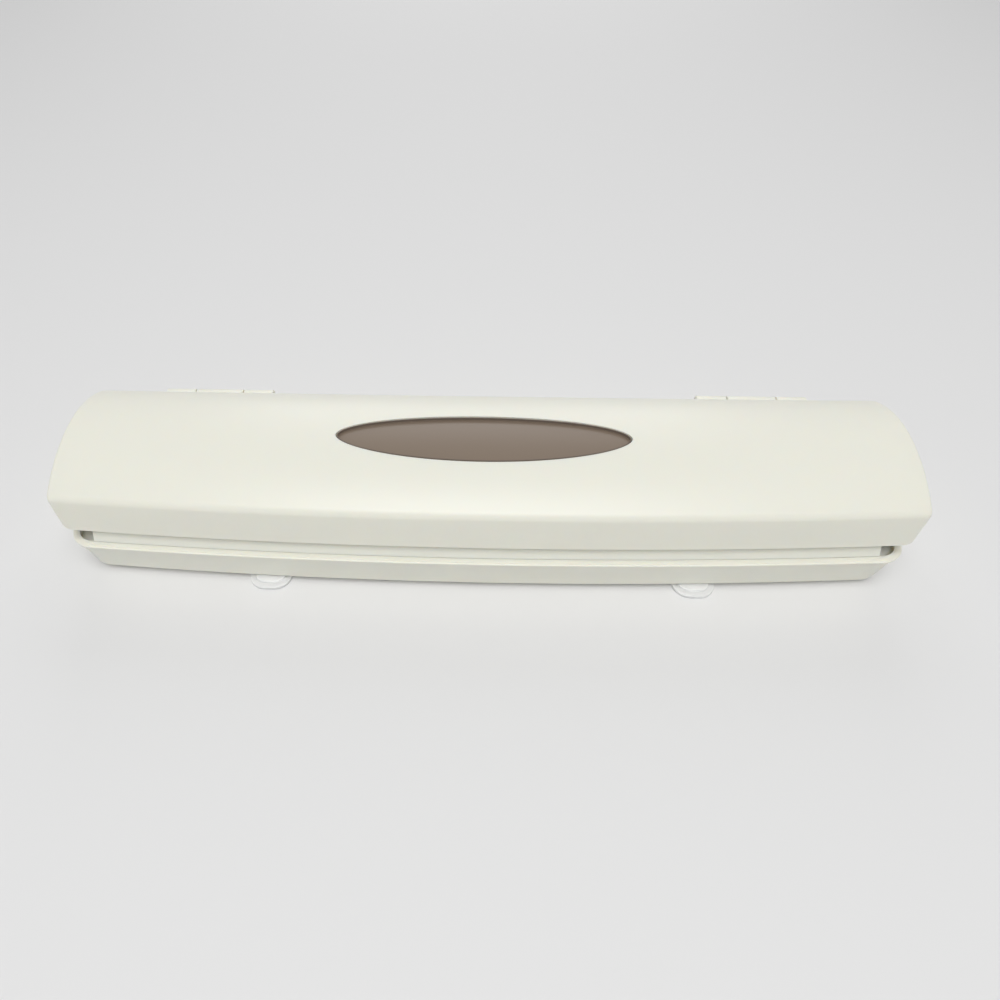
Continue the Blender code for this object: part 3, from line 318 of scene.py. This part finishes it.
def boreKnuckle(obj, low, high):
    spare = hinge["gap"] / 2
    cut(obj, roundBar("pinBore", (hinge["y"], hinge["z"]), hinge["bore"], "X", low - spare,
                      high + spare, 32))


shell = lidSolid("lidShell", 0.0, 0.0, body["half"], lid["endFillet"])
cut(shell, lidSolid("lidHollow", body["wall"], lid["overrun"], body["half"] - body["wall"], 0))
for side in (-1, 1):
    bm = bmesh.new()
    corner = (side * (body["half"] - lid["lowCorner"]), body["lipZ"] + lid["lowCorner"])
    verts = drawOutline(bm, "Y", (corner[0], body["lipZ"]), [
        ("arc", corner, side * math.pi / 2, 10),
        ("to", (side * (body["half"] + lid["clear"]), corner[1])),
        ("to", (side * (body["half"] + lid["clear"]), body["lipZ"] - lid["clear"])),
        ("to", (corner[0], body["lipZ"] - lid["clear"]))])
    pushSolid(bm, verts, (0, lid["cutDepth"], 0))
    bmesh.ops.translate(bm, verts=bm.verts, vec=(0, -lid["cutDepth"] / 2, 0))
    cut(shell, makeObject(bm, "cornerCut"))
roundEdges(shell, lid["edge"])
settle(shell)


# Window: its outline, the hole in the lid and the smoked lens
window = {
    "half": 0.06715, "halfWidth": 0.014, "y": -0.004591, "fullness": 0.54, "tip": 0.985,
    "gap": 0.0003, "recess": 0.0002, "flange": 0.003, "low": -0.0044, "flangeTop": -0.0028,
    "plugLow": -0.0036, "holeTop": 0.0022, "dishTop": 0.001, "edge": 0.00014,
    "dish": ((-0.0007, 0.0014), (-0.0011, 0.0017)), "rimMargin": 0.0001,
}


def windowSlab(name, grow, bottom, top, along, across):
    bm = bmesh.new()
    bmesh.ops.create_grid(bm, x_segments=along, y_segments=across, size=1)
    half = window["half"] + grow
    for vert in bm.verts:
        turn = (vert.co.x * window["tip"] + 1) * math.pi / 2
        x = -half * math.cos(turn)
        width = (window["halfWidth"] + grow) * (1 - (x / half) ** 2) ** window["fullness"]
        y = window["y"] + width * vert.co.y
        vert.co = (x, y, skinHeight(y - bowShift(x, y, body["bow"])) + bottom)
    grown = bmesh.ops.extrude_face_region(bm, geom=bm.faces[:])
    moved = [g for g in grown["geom"] if isinstance(g, bmesh.types.BMVert)]
    bmesh.ops.translate(bm, verts=moved, vec=(0, 0, top - bottom))
    return makeObject(bm, name)


cut(shell, windowSlab("windowHole", window["gap"], window["low"], window["holeTop"], 72, 6))
for x in lid["screws"]:
    y = lid["screwY"] + bowShift(x, lid["screwY"], body["bow"])
    top = skinHeight(lid["screwY"]) - body["wall"] / 2
    cut(shell, roundBar("screwBoss", (x, y), lid["boss"], "Z", lid["bossLow"], top, 32), "UNION")
    cut(shell, roundBar("screwHole", (x, y), lid["screwHole"], "Z",
                        lid["bossLow"] - lid["screwLead"], lid["bossLow"] + lid["screwDepth"], 24))
for side in (-1, 1):
    x = side * lid["postX"]
    top = skinHeight(lid["postY"]) - body["wall"] / 2
    cut(shell, roundBar("springPost", (x, lid["postY"]), lid["post"], "Z", lid["postLow"], top, 32),
        "UNION")
    reach = 2 * lid["post"]
    cut(shell, block("postWeb", (x - lid["web"], lid["postY"] - reach, lid["webRise"]),
                     (x + lid["web"], lid["postY"] + reach,
                      skinHeight(lid["postY"] + reach) - body["wall"] / 2)), "UNION")
for low, high, owner in hingeParts():
    if owner == "lid":
        cut(shell, roundBar("knuckle", (hinge["y"], hinge["z"]), hinge["radius"], "X", low, high,
                            40, hinge["edge"]), "UNION")
        boreKnuckle(shell, low, high)
    else:
        cut(shell, roundBar("pocket", (hinge["y"], hinge["z"]), hinge["radius"] + hinge["play"],
                            "X", low - hinge["play"], high + hinge["play"], 40))
settle(shell)
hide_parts("lid_shell")
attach(shell, "lid")

lens = windowSlab("windowLens", window["flange"], window["low"], window["flangeTop"], 96, 14)
cut(lens, windowSlab("lensPlug", -window["gap"], window["plugLow"], -window["recess"], 120, 16),
    "UNION")
for grow, depth in window["dish"]:  # the lens lies low inside its own rim
    cut(lens, windowSlab("lensDish", grow, -depth, window["dishTop"], 120, 16))
roundEdges(lens, window["edge"], 2)
settle(lens)
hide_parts("window_lens")
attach(lens, "lid")


# Base tray
base = {
    "half": 0.1944, "frontY": -0.039691, "rearY": 0.044509, "corner": 0.0109, "bottomZ": 0.003,
    "floorZ": 0.005, "ledgeZ": 0.022, "wall": 0.002, "rim": 0.0008, "rimThick": 0.0018,
    "rimRound": 0.0004, "bottomSetback": 0.004, "bottomFrontY": -0.036891, "rearSetback": 0.0035,
    "bottomCorner": 0.0095, "bottomBow": 0.0072, "bottomRound": 0.0012, "rearZ": 0.0387,
    "upperHalf": 0.1902, "upperCorner": 0.010, "step": 0.0004, "gap": 0.0003,
    "pocketY": -0.028291, "pocketLow": 0.1835, "pocketZ": 0.0182, "pocketThick": 0.0012,
    "shoulder": 0.012, "shelfZ": 0.0216, "shelfBackY": -0.034391,
    "platformHalf": 0.1825, "springX": 0.176, "springY": -0.002291, "peg": 0.002,
    "pegRise": 0.006, "studHole": 0.0021,
    "studs": ((-0.1015, -0.036309), (-0.1015, 0.027809), (0.1015, -0.036309), (0.1015, 0.027809)),
}


def trayRing(bm, z, out, plan="hull"):
    climb = min((z - base["bottomZ"]) / (base["ledgeZ"] - base["bottomZ"]), 1)
    if plan != "hull":  # straight up from the rim
        climb = 1
    half = base["half"] - base["bottomSetback"] * (1 - climb) + out
    front = base["frontY"] + (base["bottomFrontY"] - base["frontY"]) * (1 - climb) - out
    rear = base["rearY"] - base["rearSetback"] * (1 - climb) + out
    size = base["bottomCorner"] + (base["corner"] - base["bottomCorner"]) * climb + out
    bow = base["bottomBow"] + (body["bow"] - base["bottomBow"]) * climb
    if plan == "upper":
        half = base["upperHalf"] + out
        size = base["upperCorner"] + out
    inner = half - size
    turn = math.pi / 2
    moves = [("to", (-inner + 2 * inner * step / 48, front)) for step in range(1, 49)]
    moves += [("arc", (inner, front + size), turn, 12), ("to", (half, rear - size)),
              ("arc", (inner, rear - size), turn, 12), ("to", (-inner, rear)),
              ("arc", (-inner, rear - size), turn, 12), ("to", (-half, front + size)),
              ("arc", (-inner, front + size), turn, 12)]
    verts = drawOutline(bm, "Z", (-inner, front), moves, z)
    for vert in verts:
        vert.co.y += bowShift(vert.co.x, vert.co.y, bow)
    return verts


def trayLoft(name, rings):
    bm = bmesh.new()
    drawn = [trayRing(bm, *ring) for ring in rings]
    for here, there in zip(drawn, drawn[1:]):
        for index, vert in enumerate(here):
            following = (index + 1) % len(here)
            bm.faces.new((vert, here[following], there[following], there[index]))
    bm.faces.new(drawn[0])
    bm.faces.new(drawn[-1])
    return makeObject(bm, name)


def quarter(z, out, size, start, steps=4):  # points of a rounded edge, as (z, out)
    points = []
    for step in range(steps + 1):
        angle = start + math.pi / 2 * step / steps
        points.append((z + size * math.sin(angle), out + size * math.cos(angle)))
    return points


rimLow = base["ledgeZ"] - base["rimThick"]
rimRound = base["rimRound"]
outerRings = quarter(base["bottomZ"] + base["bottomRound"], -base["bottomRound"],
                     base["bottomRound"], -math.pi / 2, 5)
outerRings += [(rimLow, 0.0)]
outerRings += quarter(rimLow + rimRound, base["rim"] - rimRound, rimRound, -math.pi / 2)
rimTop = base["ledgeZ"] - base["step"]
outerRings += quarter(rimTop - rimRound, base["rim"] - rimRound, rimRound, 0)
outerRings += [(rimTop, 0.0, "upper"), (base["rearZ"] + 0.02, 0.0, "upper")]
tray = trayLoft("baseTray", outerRings)
wall = base["wall"]
shelfLow = rimTop - wall
cut(tray, trayLoft("trayHollow", [
    (base["floorZ"], -wall), (shelfLow, -wall, "rim"),
    (shelfLow, -wall - base["gap"], "upper"), (0.09, -wall - base["gap"], "upper")]))

bm = bmesh.new()
start = base["pocketY"]
rise = base["rearZ"] - base["ledgeZ"]
skim = 0.00002
moves = []
for step in range(17):
    share = step / 16
    eased = share * share * (3 - 2 * share)
    moves.append(("to", (start + base["shoulder"] * share, base["ledgeZ"] + skim + rise * eased)))
moves += [("to", (0.07, base["rearZ"] + skim)), ("to", (0.07, 0.07)), ("to", (-0.07, 0.07))]
verts = drawOutline(bm, "X", (-0.07, base["ledgeZ"] + skim), moves)
reach = base["half"] + lid["overrun"]
spanX(bm, verts, -reach, reach)
divideLong(bm)
bend(bm)
cut(tray, makeObject(bm, "shoulderCut"))

bm = bmesh.new()  # the pocket behind the rim's front corners
inset = wall + base["gap"] + base["step"]
ring = [v.co.copy() for v in trayRing(bm, shelfLow - wall, -inset, "rim")]
bmesh.ops.delete(bm, geom=bm.verts[:], context="VERTS")
verts = [bm.verts.new(co) for co in ring if co.y < base["pocketY"]]
pushSolid(bm, verts, (0, 0, 2 * wall + 0.01))
cut(tray, makeObject(bm, "cornerPockets"))
roundEdges(tray, 0.0003, 2)
settle(tray)
for side in (-1, 1):  # a shallow floor in each pocket, joined to the tray's corner
    low, high = sorted((side * base["pocketLow"], side * (base["half"] - wall / 2)))
    web = block("pocketFloor",
                (low, base["frontY"] + wall / 2, base["pocketZ"] - base["pocketThick"]),
                (high, base["pocketY"] + 0.004, base["pocketZ"]))
    bm = bmesh.new()
    hullLow = trayRing(bm, base["pocketZ"] - 0.002, -wall / 2)
    pushSolid(bm, hullLow, (0, 0, 0.003))
    cut(web, makeObject(bm, "pocketTrim"), "INTERSECT")
    cut(tray, web, "UNION")

bm = bmesh.new()
shelf = (base["frontY"] + base["wall"] / 2, base["shelfBackY"])
verts = drawOutline(bm, "X", (shelf[0], base["shelfZ"] - base["wall"]), [
    ("to", (shelf[1], base["shelfZ"] - base["wall"])), ("to", (shelf[1], base["shelfZ"])),
    ("to", (shelf[0], base["shelfZ"]))])
spanX(bm, verts, -base["platformHalf"], base["platformHalf"])
divideLong(bm)
bend(bm)
cut(tray, makeObject(bm, "shelf"), "UNION")
for low, high, owner in hingeParts():
    if owner == "base":
        cut(tray, roundBar("knuckle", (hinge["y"], hinge["z"]), hinge["radius"], "X", low, high,
                           40, hinge["edge"]), "UNION")
        wallY = base["rearY"] - base["wall"] / 2
        bm = bmesh.new()
        verts = drawOutline(bm, "X", (wallY, base["rearZ"] - 2 * hinge["radius"]), [
            ("to", (hinge["y"] + hinge["radius"] / 2, hinge["z"] - hinge["radius"] / 2)),
            ("to", (hinge["y"], hinge["z"])),
            ("to", (hinge["y"] - hinge["radius"] / 3, hinge["z"] - hinge["radius"] * 0.8)),
            ("to", (wallY, base["rearZ"] - hinge["edge"]))])
        spanX(bm, verts, low + hinge["edge"], high - hinge["edge"])
        cut(tray, makeObject(bm, "knuckleWeb"), "UNION")
        boreKnuckle(tray, low, high)
for side in (-1, 1):
    cut(tray, roundBar("springPeg", (side * base["springX"], base["springY"]), base["peg"], "Z",
                       base["floorZ"] - 0.001, base["floorZ"] + base["pegRise"], 24, 0.0004),
        "UNION")
for x, y in base["studs"]:
    cut(tray, roundBar("studHole", (x, y), base["studHole"], "Z", 0.001, 0.007, 24))
settle(tray)
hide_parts("base_tray")
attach(tray, "base")


# Film platform, with its edges rounded as moulded
platform = {
    "seat": 0.0219, "frontY": -0.030322, "backY": -0.026322, "topZ": 0.0337, "lowY": -0.03719,
    "floorZ": 0.0053, "wall": 0.0018, "half": 0.1825, "ribs": 9, "edge": 0.0009,
}
thick = platform["wall"]
innerTop, innerBack = platform["topZ"] - thick, platform["backY"] - thick
bm = bmesh.new()
verts = drawOutline(bm, "X", (platform["lowY"], platform["seat"]), [
    ("to", (platform["lowY"] + thick, platform["seat"])),
    ("to", (platform["frontY"] + thick / 2, innerTop)), ("to", (innerBack, innerTop)),
    ("to", (innerBack, platform["floorZ"])), ("to", (platform["backY"], platform["floorZ"])),
    ("to", (platform["backY"], platform["topZ"])), ("to", (platform["frontY"], platform["topZ"]))])
spanX(bm, verts, -platform["half"], platform["half"])
rims = [e for e in bm.edges if min(v.co.z for v in e.verts) > platform["topZ"] - 1e-6
        or (abs(e.verts[0].co.x - e.verts[1].co.x) < 1e-6
            and max(v.co.z for v in e.verts) > platform["topZ"] - 1e-6
            and min(v.co.z for v in e.verts) > platform["seat"] - 1e-6)]
bevelEdges(bm, rims, platform["edge"], 4)
divideLong(bm)
bend(bm)
bar = makeObject(bm, "filmPlatform")
inset = thick / 2
reach = platform["half"] - inset - 0.0003
for index in range(platform["ribs"]):
    x = -reach + 2 * reach * index / (platform["ribs"] - 1)
    bm = bmesh.new()
    verts = drawOutline(bm, "X", (platform["lowY"] + inset, platform["seat"]), [
        ("to", (innerBack + inset, platform["seat"])),
        ("to", (innerBack + inset, innerTop + inset)),
        ("to", (platform["frontY"] + inset, innerTop + inset))], x - inset)
    pushSolid(bm, verts, (thick, 0, 0))
    bend(bm)
    cut(bar, makeObject(bm, "rib"), "UNION")
settle(bar)
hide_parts("film_platform")
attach(bar, "base")


# Roll hubs: a hollow plug, its flange and the trunnion, turned about the roll's axis
hub = {
    "y": 0.006344, "z": 0.0315, "inner": 0.150, "flangeThick": 0.002, "plugLength": 0.022,
    "plug": 0.0158, "tip": 0.0135, "flange": 0.0215, "trunnion": 0.004, "reach": 0.0125,
    "wall": 0.0018, "edge": 0.00035,
}
hubs = []
for side, name in ((-1, "left"), (1, "right")):
    outer = hub["inner"] + hub["flangeThick"]
    tip = hub["inner"] - hub["plugLength"]
    end = outer + hub["reach"]
    middle = outer - hub["flangeThick"] / 2
    bore = hub["trunnion"] - hub["wall"]
    cup = hub["tip"] - hub["wall"]
    profile = ((tip, hub["tip"]), (hub["inner"], hub["plug"]), (hub["inner"], hub["flange"]),
               (outer, hub["flange"]), (outer, hub["trunnion"]), (end, hub["trunnion"]),
               (end, bore), (middle, bore), (middle, cup), (tip, cup))
    bm = bmesh.new()
    points = [bm.verts.new((side * x, hub["y"], hub["z"] + radius)) for x, radius in profile]
    edges = [bm.edges.new(pair) for pair in zip(points, points[1:] + points[:1])]
    bmesh.ops.spin(bm, geom=points + edges, cent=(0, hub["y"], hub["z"]), axis=(1, 0, 0),
                   angle=2 * math.pi, steps=80, use_merge=True)
    bmesh.ops.recalc_face_normals(bm, faces=bm.faces)
    rims = [e for e in bm.edges if e.calc_face_angle(0) > 0.8]
    bevelEdges(bm, rims, hub["edge"], 3)
    plugPiece = settle(makeObject(bm, "hub_" + name))
    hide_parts("roll_hub_" + name)
    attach(plugPiece, "hub_" + name)
    hubs.append(plugPiece)


# Feet
feet = {
    "names": ("foot_front_left", "foot_rear_left", "foot_front_right", "foot_rear_right"),
    "places": ((-0.1015, -0.038109), (-0.1015, 0.027809), (0.1015, -0.038109),
               (0.1015, 0.027809)),
    "half": (0.0101, 0.010), "corner": 0.008, "flange": 0.0018, "bossInset": 0.0028,
    "bossTop": 0.0027, "stud": 0.0018, "head": 0.0027, "headLow": 0.0053, "headThick": 0.0012,
    "edge": 0.0004,
}
pads = []
for name, (x, y), (studX, studY) in zip(feet["names"], feet["places"], base["studs"]):
    bm = bmesh.new()
    halfX, halfY = feet["half"]
    size = feet["corner"]
    turn = math.pi / 2
    moves = [("to", (x + halfX - size, y - halfY)),
             ("arc", (x + halfX - size, y - halfY + size), turn, 10),
             ("to", (x + halfX, y + halfY - size)),
             ("arc", (x + halfX - size, y + halfY - size), turn, 10),
             ("to", (x - halfX + size, y + halfY)),
             ("arc", (x - halfX + size, y + halfY - size), turn, 10),
             ("to", (x - halfX, y - halfY + size)),
             ("arc", (x - halfX + size, y - halfY + size), turn, 10)]
    verts = drawOutline(bm, "Z", (x - halfX + size, y - halfY), moves)
    pushSolid(bm, verts, (0, 0, feet["flange"]))
    top = [f for f in bm.faces if min(v.co.z for v in f.verts) > feet["flange"] - 1e-6]
    bmesh.ops.inset_region(bm, faces=top, thickness=feet["bossInset"])
    grown = bmesh.ops.extrude_face_region(bm, geom=top)
    moved = [g for g in grown["geom"] if isinstance(g, bmesh.types.BMVert)]
    bmesh.ops.translate(bm, verts=moved, vec=(0, 0, feet["bossTop"] - feet["flange"]))
    bmesh.ops.delete(bm, geom=[f for f in top if f.is_valid], context="FACES_ONLY")
    sharp = [e for e in bm.edges if len(e.link_faces) == 2 and e.calc_face_angle() > 1]
    bevelEdges(bm, sharp, feet["edge"], 3)
    foot = makeObject(bm, name.replace("foot_", "pad_"))
    cut(foot, roundBar("stud", (studX, studY), feet["stud"], "Z", feet["flange"],
                       feet["headLow"] + 0.0003, 24), "UNION")
    cut(foot, roundBar("studHead", (studX, studY), feet["head"], "Z", feet["headLow"],
                       feet["headLow"] + feet["headThick"], 24, 0.0003), "UNION")
    settle(foot)
    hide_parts(name)
    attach(foot, "base")
    pads.append(foot)


# Materials
def newGroup(name, inputs, outputs):
    group = bpy.data.node_groups.new(name, "ShaderNodeTree")
    for label, kind, value in inputs:
        socket = group.interface.new_socket(label, in_out="INPUT", socket_type=kind)
        socket.default_value = value
    for label, kind in outputs:
        group.interface.new_socket(label, in_out="OUTPUT", socket_type=kind)
    return group, group.nodes.new("NodeGroupInput"), group.nodes.new("NodeGroupOutput")


def surfaceGroup():
    group, given, put = newGroup("surfaceDetail", [
        ("Colour", "NodeSocketColor", (0.8, 0.8, 0.8, 1)),
        ("Tint", "NodeSocketColor", (0.7, 0.7, 0.7, 1)),
        ("Tint amount", "NodeSocketFloat", 0.2),
        ("Cloud scale", "NodeSocketFloat", 30),
        ("Grain scale", "NodeSocketFloat", 2500),
        ("Grain height", "NodeSocketFloat", 0.1),
        ("Low gloss", "NodeSocketFloat", 0.3),
        ("High gloss", "NodeSocketFloat", 0.4),
        ("Stretch", "NodeSocketVector", (1, 1, 1)),
    ], [("Colour", "NodeSocketColor"), ("Roughness", "NodeSocketFloat"),
        ("Normal", "NodeSocketVector")])
    nodes, link = group.nodes, group.links.new
    place = nodes.new("ShaderNodeTexCoord")
    stretch = nodes.new("ShaderNodeVectorMath")
    stretch.operation = "MULTIPLY"
    link(place.outputs["Object"], stretch.inputs[0])
    link(given.outputs["Stretch"], stretch.inputs[1])
    cloud = nodes.new("ShaderNodeTexNoise")
    cloud.inputs["Detail"].default_value = 1
    link(stretch.outputs[0], cloud.inputs["Vector"])
    link(given.outputs["Cloud scale"], cloud.inputs["Scale"])
    grain = nodes.new("ShaderNodeTexNoise")
    grain.inputs["Detail"].default_value = 2
    link(stretch.outputs[0], grain.inputs["Vector"])
    link(given.outputs["Grain scale"], grain.inputs["Scale"])
    amount = nodes.new("ShaderNodeMath")
    amount.operation = "MULTIPLY"
    link(cloud.outputs["Fac"], amount.inputs[0])
    link(given.outputs["Tint amount"], amount.inputs[1])
    blend = nodes.new("ShaderNodeMix")
    blend.data_type = "RGBA"
    link(amount.outputs[0], blend.inputs["Factor"])
    link(given.outputs["Colour"], blend.inputs["A"])
    link(given.outputs["Tint"], blend.inputs["B"])
    gloss = nodes.new("ShaderNodeMapRange")
    link(cloud.outputs["Fac"], gloss.inputs["Value"])
    gloss.clamp = False
    link(given.outputs["Low gloss"], gloss.inputs["To Min"])
    link(given.outputs["High gloss"], gloss.inputs["To Max"])
    bump = nodes.new("ShaderNodeBump")
    bump.inputs["Distance"].default_value = 0.0001
    link(grain.outputs["Fac"], bump.inputs["Height"])
    link(given.outputs["Grain height"], bump.inputs["Strength"])
    link(blend.outputs["Result"], put.inputs["Colour"])
    link(gloss.outputs["Result"], put.inputs["Roughness"])
    link(bump.outputs["Normal"], put.inputs["Normal"])
    return group


detail = surfaceGroup()


def makeMaterial(name, values, shaderValues):
    material = bpy.data.materials.new(name)
    material.use_nodes = True
    nodes, link = material.node_tree.nodes, material.node_tree.links.new
    shader = nodes["Principled BSDF"]
    group = nodes.new("ShaderNodeGroup")
    group.node_tree = detail
    for label, value in values.items():
        group.inputs[label].default_value = value
    link(group.outputs["Colour"], shader.inputs["Base Color"])
    link(group.outputs["Roughness"], shader.inputs["Roughness"])
    link(group.outputs["Normal"], shader.inputs["Normal"])
    for label, value in shaderValues.items():
        shader.inputs[label].default_value = value
    return material


cream = makeMaterial("creamPlastic", {
    "Colour": (0.86, 0.848, 0.750, 1), "Tint": (0.83, 0.815, 0.71, 1), "Tint amount": 0.3,
    "Cloud scale": 9, "Grain scale": 2600, "Grain height": 0.05, "Low gloss": 0.30,
    "High gloss": 0.40}, {"IOR": 1.46, "Subsurface Weight": 0.3, "Subsurface Scale": 0.004,
                          "Subsurface Radius": (1.0, 0.75, 0.5)})
innerCream = makeMaterial("creamInner", {
    "Colour": (0.85, 0.83, 0.71, 1), "Tint": (0.78, 0.75, 0.64, 1), "Tint amount": 0.4,
    "Cloud scale": 40, "Grain scale": 3000, "Grain height": 0.12, "Low gloss": 0.38,
    "High gloss": 0.5}, {"IOR": 1.5})
smoked = makeMaterial("smokedLens", {
    "Colour": (0.238, 0.184, 0.137, 1), "Tint": (0.204, 0.162, 0.132, 1), "Tint amount": 0.5,
    "Cloud scale": 9, "Grain scale": 1800, "Grain height": 0.02, "Low gloss": 0.26,
    "High gloss": 0.34}, {"IOR": 1.45, "Alpha": 0.95})
# a darker copy of the smoked lens for its rim: partly the thicker smoked plastic there, partly
# painted shade of the recessed border
smokedEdge = makeMaterial("smokedEdge", {
    "Colour": (0.180, 0.142, 0.112, 1), "Tint": (0.155, 0.124, 0.103, 1), "Tint amount": 0.5,
    "Cloud scale": 9, "Grain scale": 1800, "Grain height": 0.02, "Low gloss": 0.26,
    "High gloss": 0.34}, {"IOR": 1.45})
steel = makeMaterial("brightSteel", {
    "Colour": (0.60, 0.61, 0.63, 1), "Tint": (0.42, 0.43, 0.45, 1), "Tint amount": 0.6,
    "Cloud scale": 120, "Grain scale": 900, "Grain height": 0.35, "Low gloss": 0.2,
    "High gloss": 0.36, "Stretch": (0.08, 1, 1)}, {"Metallic": 1.0})
rubber = makeMaterial("clearRubber", {
    "Colour": (0.90, 0.91, 0.90, 1), "Tint": (0.83, 0.85, 0.86, 1), "Tint amount": 0.4,
    "Cloud scale": 110, "Grain scale": 1500, "Grain height": 0.15, "Low gloss": 0.2,
    "High gloss": 0.3}, {"IOR": 1.42, "Subsurface Weight": 0.8, "Subsurface Scale": 0.006,
                         "Subsurface Radius": (1.0, 1.0, 1.0)})
grip = makeMaterial("gripRubber", {
    "Colour": (0.30, 0.30, 0.31, 1), "Tint": (0.22, 0.22, 0.23, 1), "Tint amount": 0.6,
    "Cloud scale": 300, "Grain scale": 2200, "Grain height": 0.5, "Low gloss": 0.6,
    "High gloss": 0.8}, {})
hubPlastic = makeMaterial("hubPlastic", {
    "Colour": (0.80, 0.80, 0.77, 1), "Tint": (0.70, 0.70, 0.66, 1), "Tint amount": 0.5,
    "Cloud scale": 60, "Grain scale": 2400, "Grain height": 0.2, "Low gloss": 0.38,
    "High gloss": 0.5}, {"IOR": 1.5})

finishes = {
    "cream_shell": innerCream, "smoked_lens": smoked, "steel": steel, "clear_rubber": rubber,
    "grip_rubber": grip, "hub_plastic": hubPlastic,
}
for part in frame["record"]["subparts"]:
    node = frame["nodes"][part["node"]]
    if not node.material_slots:
        node.data.materials.append(None)
    for holder in node.material_slots:
        holder.material = finishes[part["material_slot"]]
dressed = [(shell, cream), (tray, cream), (bar, cream), (lens, smoked)]
dressed += [(piece, hubPlastic) for piece in hubs] + [(pad, rubber) for pad in pads]
for piece, material in dressed:
    piece.data.materials.clear()
    piece.data.materials.append(material)
lens.data.materials.append(smokedEdge)
for face in lens.data.polygons:  # the rim round the lens is darker: partly thicker smoked plastic, partly painted shade along the recessed rim
    x, y, z = face.center
    depth = skinHeight(y - bowShift(x, y, body["bow"])) - z
    if depth < window["dish"][0][1] - window["rimMargin"]:
        face.material_index = 1
print("materials given")


# Stage and light
bm = bmesh.new()
bmesh.ops.create_grid(bm, x_segments=1, y_segments=1, size=3)
floor = makeObject(bm, "floor")
floor.location.z = -0.0002
paper = bpy.data.materials.new("paper")
paper.use_nodes = True
sheet = paper.node_tree.nodes["Principled BSDF"]
sheet.inputs["Roughness"].default_value = 0.9
sheet.inputs["Base Color"].default_value = (0.80, 0.80, 0.80, 1)
floor.data.materials.append(paper)

lamps = {  # place, size, energy; all neutral white
    "key": ((0, -0.8, 1.9), 1.4, 30.5),
    "front": ((-0.2, -1.3, 0.6), 1.3, 0.8),
    "rear": ((0, 1.6, 0.95), 1.4, 8.0),
}
aim = Vector((0, 0, 0.03))
for name, (place, size, energy) in lamps.items():
    light = bpy.data.lights.new(name, "AREA")
    light.size = size
    light.energy = energy
    lamp = bpy.data.objects.new(name, light)
    lamp.location = place
    lamp.rotation_euler = (aim - Vector(place)).to_track_quat("-Z", "Y").to_euler()
    bpy.context.scene.collection.objects.link(lamp)
world = bpy.data.worlds.new("world")
world.use_nodes = True
sky = world.node_tree.nodes["Background"]
sky.inputs["Color"].default_value = (1, 1, 1, 1)
sky.inputs["Strength"].default_value = 0.24
worldNodes, worldLink = world.node_tree.nodes, world.node_tree.links.new
pale = worldNodes.new("ShaderNodeBackground")
pale.inputs["Color"].default_value = (0.80, 0.80, 0.80, 1)
choose = worldNodes.new("ShaderNodeMixShader")
paths = worldNodes.new("ShaderNodeLightPath")
seen = paths.outputs["Is Camera Ray"]
for label in ("Is Glossy Ray", "Is Transmission Ray"):
    either = worldNodes.new("ShaderNodeMath")
    either.operation = "MAXIMUM"
    worldLink(seen, either.inputs[0])
    worldLink(paths.outputs[label], either.inputs[1])
    seen = either.outputs[0]
worldLink(seen, choose.inputs[0])
worldLink(sky.outputs[0], choose.inputs[1])
worldLink(pale.outputs[0], choose.inputs[2])
worldLink(choose.outputs[0], worldNodes["World Output"].inputs["Surface"])
bpy.context.scene.world = world
bpy.context.scene.view_settings.view_transform = "Standard"
print("stage set")
